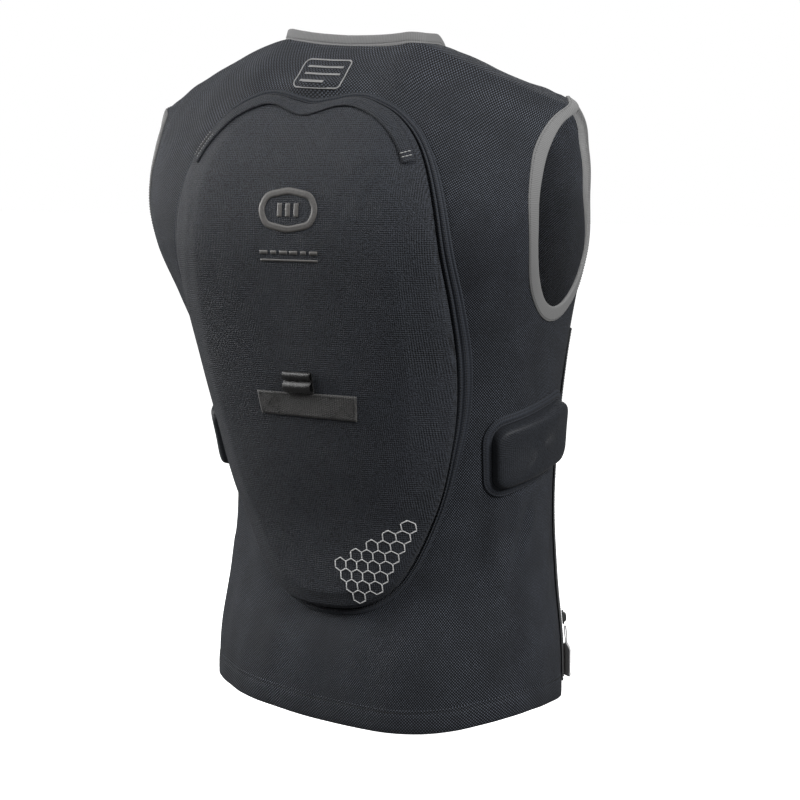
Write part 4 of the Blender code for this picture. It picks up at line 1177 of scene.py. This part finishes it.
def make_pads():
    """Both side pads in their tapes; gives the tapes' stitches."""
    length, height = PAD_LENGTH - 2 * PAD_BORDER, PAD_HEIGHT - 2 * PAD_BORDER
    outline = rounded_box(length, height, PAD_CORNER - PAD_BORDER * 0.5, 200)
    rings = np.array(((0.00, 1.000, 1.000, 0.02), (0.04, 1.006, 1.008, 0.12), (0.10, 1.004, 1.004, 0.34),
                      (0.18, 0.992, 0.985, 0.60), (0.28, 0.968, 0.945, 0.82), (0.38, 0.930, 0.885, 0.94),
                      (0.50, 0.860, 0.780, 1.00), (0.70, 0.560, 0.480, 1.03), (1.00, 0.020, 0.020, 1.04)))
    border = ((0.0, 0.0), (0.0, 0.8), (0.06, 1.05), (0.16, 1.1), (0.24, 0.72), (0.32, 1.05), (0.55, 1.2),
              (0.70, 1.05), (0.78, 0.75), (0.86, 1.0), (0.96, 0.85), (1.0, 0.4), (1.0, 0.0))
    rows = []
    for label, mirror in (("right", 1), ("left", -1)):
        def place(ring, off):
            return on_side(PAD_LENGTH / 2 + ring[:, 0], ring[:, 1], off) * (mirror, 1, 1)

        def tape_edge(share):
            return grown(outline, GAP + (PAD_BORDER - GAP) * share)

        points = [place(outline * shares, CLEAR - 0.0003)
                  for shares in ((0.30, 0.30), (0.65, 0.62), (0.90, 0.88), (0.985, 0.975))]
        for t in np.concatenate([np.linspace(0.0, 0.5, 22), np.linspace(0.5, 1.0, 20)[1:]]):
            along, across, rise = table(rings, t)
            ring = outline * (along, across)
            dent = 0.0006 * np.sin(ring[:, 0] * 75 + 0.6) * np.sin(ring[:, 1] * 90) * smoothstep(t, 0.2, 0.6)
            points.append(place(ring, CLEAR + PAD_THICK * rise + dent))
        grid_object("side_pad_" + label, points, "pad", around=True, caps=True, slot="pad_cover",
                              replaces=["hip_pad_" + label])
        grid_object("side_pad_tape_" + label, [place(tape_edge(a), lifted_tape(b)) for a, b in border],
                    "border", around=True, rounds=True, slot="border_tape",
                    replaces=["hip_pad_border_" + label])
        for share in (0.24, 0.78):
            ring = looped(tape_edge(share))
            low, high = (place(ring, CLEAR + BORDER_WALL * k) for k in (0.88, 1.88))
            rows.append(stitch_parts(low, high - low, 0.0029, radius=0.00036))
    return rows


# Side zip


def make_side_zip():
    """Both tapes with their teeth, and the slider; gives the tapes' stitches."""
    tape, teeth = ZIP_WIDTH / 2, TEETH_WIDTH / 2
    frames = [zip_frame(z) for z in np.linspace(ZIP_LOW, ZIP_HIGH, 150)]
    section = ((teeth * 0.55, -0.0003), (teeth * 0.55, 0.0009), (teeth * 1.3, 0.0011), (tape * 0.5, 0.0010),
               (tape * 0.8, 0.0010), (tape * 0.95, 0.0009), (tape, 0.0005), (tape, -0.0003))
    rows = []
    for side, label in ((-1, "rear"), (1, "front")):
        points = [[spot + ahead * side * a + out * (CLEAR + lift) for a, lift in section]
                  for spot, ahead, out, _ in frames]
        grid_object("zip_tape_" + label, points, "tape", around=True, caps=True, slot="zip_tape",
                    replaces=["side_zip"] if side < 0 else ())
        for inset in (0.0018, 0.0040):
            line = [spot + ahead * side * (tape - inset) + out * (CLEAR + 0.0011)
                    for spot, ahead, out, _ in frames]
            rows.append(stitch_parts(line, [out for _, _, out, _ in frames], 0.0028, radius=0.00030))

    faces, _ = grid_parts(np.zeros((4, 6, 3)), around=True)
    faces = faces.tolist() + [range(6), range(18, 24)]
    cosine, sine = (size * part for size, part in zip(TOOTH_HALF_SIZE, circle(6)))
    coil = []
    for z in np.arange(ZIP_LOW + 0.003, ZIP_HIGH - 0.002, TEETH_PITCH):
        spot, ahead, out, up = zip_frame(z)
        for side in (-1, 1):
            rings = []
            for a, size in ((1.0, 0.55), (0.75, 1.0), (0.1, 1.0), (-0.28, 0.6)):
                centre = (spot + ahead * side * (teeth * a) + out * (CLEAR + 0.0017)
                          + up * (0.25 * TEETH_PITCH * side))
                rings.append(centre + size * (up * cosine + out * sine))
            coil.append((rings, faces))
    merged("zip_coil", coil, "teeth", slot="zip_tape")

    spot, ahead, out, up = zip_frame(SLIDER_Z)
    base = CLEAR + TEETH_HEIGHT + GAP
    rings = []
    for across, upward, lift in (
            (0.90, 0.92, 0.0), (0.98, 0.98, 0.05), (1.0, 1.0, 0.14), (0.98, 0.99, 0.26),
            (0.92, 0.95, 0.34), (0.60, 0.85, 0.38), (0.36, 0.72, 0.42), (0.32, 0.66, 0.60),
            (0.30, 0.58, 0.80), (0.24, 0.46, 0.92), (0.10, 0.25, 0.96)):
        reach = SLIDER_HEIGHT / 2 * upward
        rings.append([spot + ahead * a + up * b + out * (base + lift * SLIDER_THICK)
                      for a, b in oval(48, SLIDER_WIDTH / 2 * across, reach, reach, 3.0)])
    grid_object("zip_slider_body", rings, "slider", around=True, caps=True, slot="slider_plastic",
                replaces=["zip_slider"])
    return rows


def tube(line, radius):
    """Rings of a round tube along a line."""
    along = unit(np.gradient(line, axis=0))
    side = unit(np.cross(along, np.array([0.3, 0.9, 0.1])))
    cosine, sine = circle(12)
    return line[:, None] + radius * (cosine * side[:, None] + sine * np.cross(along, side)[:, None])


def make_pull():
    """Cord in a loop through the slider, and the moulded tab that it carries."""
    start_z = SLIDER_Z - SLIDER_HEIGHT / 2 - 3 * GAP
    spot, _, out, _ = zip_frame(start_z)
    start = spot + out * (CLEAR + TEETH_HEIGHT + GAP + 0.5 * SLIDER_THICK)
    spot, ahead, out, _ = zip_frame(start_z - CORD_LENGTH)
    top = spot + out * TAB_STAND_OFF
    turn = math.radians(TAB_TURN)
    wide = -ahead * math.cos(turn) + out * math.sin(turn)
    down = np.array([0.0, 0.0, -1.0])
    thin = unit(np.cross(wide, down))
    t = np.linspace(0.0, 1.0, 24)[:, None]
    for label, side in (("a", -1), ("b", 1)):
        bow = side * wide * 0.0011 * np.sin(np.pi * t) ** 0.7
        line = start + (top + down * 0.0012 - start) * t + bow + thin * 0.0004 * side
        grid_object("pull_cord_" + label, tube(line, CORD_RADIUS * 0.62), "cord", around=True, caps=True,
                    slot="pull_tape")
    rows = []
    for share, width, wall in ((0.00, 0.26, 0.7), (0.02, 0.34, 0.95), (0.06, 0.55, 1.0), (0.10, 0.82, 1.0),
                               (0.14, 0.95, 1.0), (0.18, 1.0, 0.85), (0.22, 1.0, 0.72), (0.50, 1.0, 0.72),
                               (0.78, 1.0, 0.72), (0.86, 1.0, 0.72), (0.90, 1.0, 1.0), (0.95, 0.99, 1.0),
                               (0.985, 0.93, 0.8), (1.0, 0.86, 0.5)):
        half = 0.5 * TAB_WALL * wall
        rows.append([top + down * TAB_HEIGHT * share + wide * a + thin * b
                     for a, b in oval(40, 0.5 * TAB_WIDTH * width, half, half, 5.0)])
    grid_object("pull_tab", rows, "tab", around=True, caps=True, slot="pull_tape", replaces=["zip_pull"])


# Prints of own design


def print_object(name, paths, tree, material, lift=0.0003):
    """Flat bands of print on a surface of the back; each path has a width and may be closed."""
    pieces = []
    for path, width, closed in paths:
        path = resampled(path, step=PRINT_STEP, closed=closed)
        if closed:
            along = np.roll(path, -1, axis=0) - np.roll(path, 1, axis=0)
        else:
            along = np.gradient(path, axis=0)
        side = unit(np.stack([along[:, 1], -along[:, 0]], -1))
        shifts = np.linspace(-width / 2, width / 2, max(2, int(width / PRINT_STEP) + 1))
        casts = np.array([[cast(tree, (x, 0.5, z), (0, -1, 0)) for x, z in path + side * shift]
                          for shift in shifts])
        points = casts[..., 0, :] + casts[..., 1, :] * (lift + PRINT_WALL)
        pieces.append((points, grid_parts(points, around=closed)[0]))
    thicken(merged(name, pieces, material), PRINT_WALL)


def outline_of(corners, radius):
    """Closed outline with rounded corners."""
    corners = np.asarray(corners, float)
    out = []
    for before, at, after in zip(np.roll(corners, 1, 0), corners, np.roll(corners, -1, 0)):
        first, last = at + unit(before - at) * radius, at + unit(after - at) * radius
        out += [(1 - t) ** 2 * first + 2 * t * (1 - t) * at + t * t * last for t in np.linspace(0, 1, 6)]
    return out


def make_prints(panel_tree, cloth_tree):
    """Plain ring with bars on the protector, barred outline below the neck and net near the foot."""
    middle = np.array([-0.003, 0.4800])
    ring = middle + np.array([(-0.024, -0.013), (0.0, -0.0175), (0.024, -0.013), (0.030, 0.0),
                              (0.024, 0.013), (0.0, 0.0175), (-0.024, 0.013), (-0.030, 0.0)])
    paths = [(outline_of(ring, 0.006), 0.0062, True)]
    for shift in (-0.009, 0.0, 0.009):
        paths.append((middle + np.array([(shift, -0.0062), (shift, 0.0062)]), 0.0050, False))
    for k, wide in enumerate((0.0086, 0.0060, 0.0086, 0.0086, 0.0060, 0.0086)):
        x = -0.030 + 0.0108 * k
        paths.append((((x - wide / 2, 0.4420), (x + wide / 2, 0.4420)), 0.0036, False))
    paths.append((((-0.034, 0.4350), (0.028, 0.4350)), 0.0022, False))
    print_object("face_print", paths, panel_tree, "print")

    corners = ((0.027, 0.588), (0.027, 0.6135), (-0.023, 0.6135), (-0.023, 0.588))
    bars = [(outline_of(corners, 0.005), 0.0012, True)]
    for z, x0, x1 in ((0.6070, -0.017, 0.021), (0.6005, -0.017, 0.021), (0.5940, -0.005, 0.021)):
        bars.append((((x0, z), (x1, z)), 0.0017, False))
    print_object("neck_print", bars, cloth_tree, "pale_print", lift=0.0005)

    # A regular net of six-sided cells, kept where a slanting band crosses the protector's foot
    edges = {}
    turn = np.arange(6) * math.pi / 3
    for i in range(-14, 15):
        for j in range(-14, 15):
            x = -0.066 + NET_CELL * math.sqrt(3) * (i + 0.5 * (j % 2))
            z = 0.152 + NET_CELL * 1.5 * j
            slant = (z - 0.150) + 0.62 * (x + 0.066)
            reach = math.hypot((x + 0.076) / 0.056, (z - 0.150) / 0.050)
            if reach >= 1.0 or outside_panel(x, z) >= -0.0062 or slant >= 0.031:
                continue
            corners = np.stack([x + NET_CELL * np.sin(turn), z + NET_CELL * np.cos(turn)], -1)
            for a, b in zip(corners, np.roll(corners, -1, 0)):
                edges[tuple(sorted((tuple(np.round(a, 4)), tuple(np.round(b, 4)))))] = (a, b)
    print_object("net_print", [(edge, 0.0010, False) for edge in edges.values()], panel_tree, "net_print")


cloth_tree = make_cloth()
make_hem()
binding_rows = [make_arm_binding(side, cloth_tree) for side in (-1, 1)] + [make_neck_band()]
merged("binding_stitches", binding_rows, "grey_thread", slot="binding")
panel_tree = make_protector()
border_rows = make_border()
zip_rows, tack_rows = make_pocket_zip()
merged("protector_stitches", border_rows + zip_rows, "thread", slot="border_tape")
merged("bar_tacks", tack_rows, "light_thread", slot="border_tape")
merged("strip_stitches", make_strip(), "thread", slot="strip_weave")
make_loop()
merged("side_pad_stitches", make_pads(), "thread", slot="border_tape")
merged("side_zip_stitches", make_side_zip(), "thread", slot="zip_tape")
make_pull()
make_prints(panel_tree, cloth_tree)


# Floor, lights and camera


def make_floor():
    """Pale ground that glows enough to look as white as the photograph's surroundings."""
    edge = np.linspace(-14.0, 14.0, 9)
    x, y = np.meshgrid(edge, edge)
    points = np.stack([x, y, np.full(x.shape, -0.070 - MOUNT[2])], -1)
    mesh = bpy.data.meshes.new("floor")
    mesh.from_pydata(points.reshape(-1, 3).tolist(), [], grid_parts(points)[0].tolist())
    material = plain("pale_floor", grey(0.86), grey(0.90), (0.7, 0.9), scale=40.0, depth=0.0001)
    shader = material.node_tree.nodes["Principled BSDF"]
    shader.inputs["Emission Color"].default_value = (1.0, 1.0, 1.0, 1.0)
    shader.inputs["Emission Strength"].default_value = FLOOR_GLOW
    mesh.materials.append(material)
    floor = linked("floor", mesh)
    floor.visible_diffuse = floor.visible_glossy = False


def area_light(name, place, aim, size, power):
    """A round light at a place, turned to what it lights."""
    light = bpy.data.lights.new(name, "AREA")
    light.shape, light.size, light.energy = "DISK", size, power
    obj = linked(name, light)
    obj.location = place
    obj.rotation_euler = (Vector(aim) - Vector(place)).to_track_quat("-Z", "Y").to_euler()


def direction(azimuth, elevation):
    """Direction from the part to a camera or a light, from the front round to the wearer's left."""
    a, e = math.radians(azimuth), math.radians(elevation)
    return Vector((math.sin(a) * math.cos(e), -math.cos(a) * math.cos(e), math.sin(e)))


make_floor()
target = Vector(CAMERA_TARGET)
for name, azimuth, elevation, away, size, power in (
        ("key_light", 134, 38, 2.3, 1.3, 21.0),
        ("left_light", 100, 14, 2.0, 0.8, 21.0),
        ("right_light", 250, 28, 2.2, 0.9, 36.0),
        ("top_light", 212, 80, 2.0, 1.4, 8.0),
        ("front_light", 20, 30, 2.6, 1.6, 8.0)):
    area_light(name, target + direction(azimuth, elevation) * away, target, size, power)
area_light("inside_light", (-0.150, -0.008, -0.110), (-0.220, -0.060, -0.110), 0.04, 0.075)

world = bpy.data.worlds.new("studio")
world.use_nodes = True
sky = world.node_tree
path = sky.nodes.new("ShaderNodeLightPath")
strength = sky.nodes.new("ShaderNodeMapRange")
strength.inputs["To Min"].default_value, strength.inputs["To Max"].default_value = AMBIENT, 1.0
sky.links.new(path.outputs["Is Camera Ray"], strength.inputs["Value"])
sky.links.new(strength.outputs[0], sky.nodes["Background"].inputs["Strength"])
sky.nodes["Background"].inputs["Color"].default_value = (1.0, 1.0, 1.0, 1.0)
bpy.context.scene.world = world
bpy.context.scene.view_settings.view_transform = "Standard"

lens = bpy.data.cameras.new("camera")
lens.sensor_width = 36.0
lens.lens = 36.0 * CAMERA_DISTANCE / FRAME_WIDTH
lens.shift_x = CAMERA_SHIFT
camera = linked("camera", lens)
view = direction(CAMERA_AZIMUTH, CAMERA_ELEVATION)
camera.location = target + view * CAMERA_DISTANCE
camera.rotation_euler = view.to_track_quat("Z", "Y").to_euler()
bpy.context.scene.camera = camera
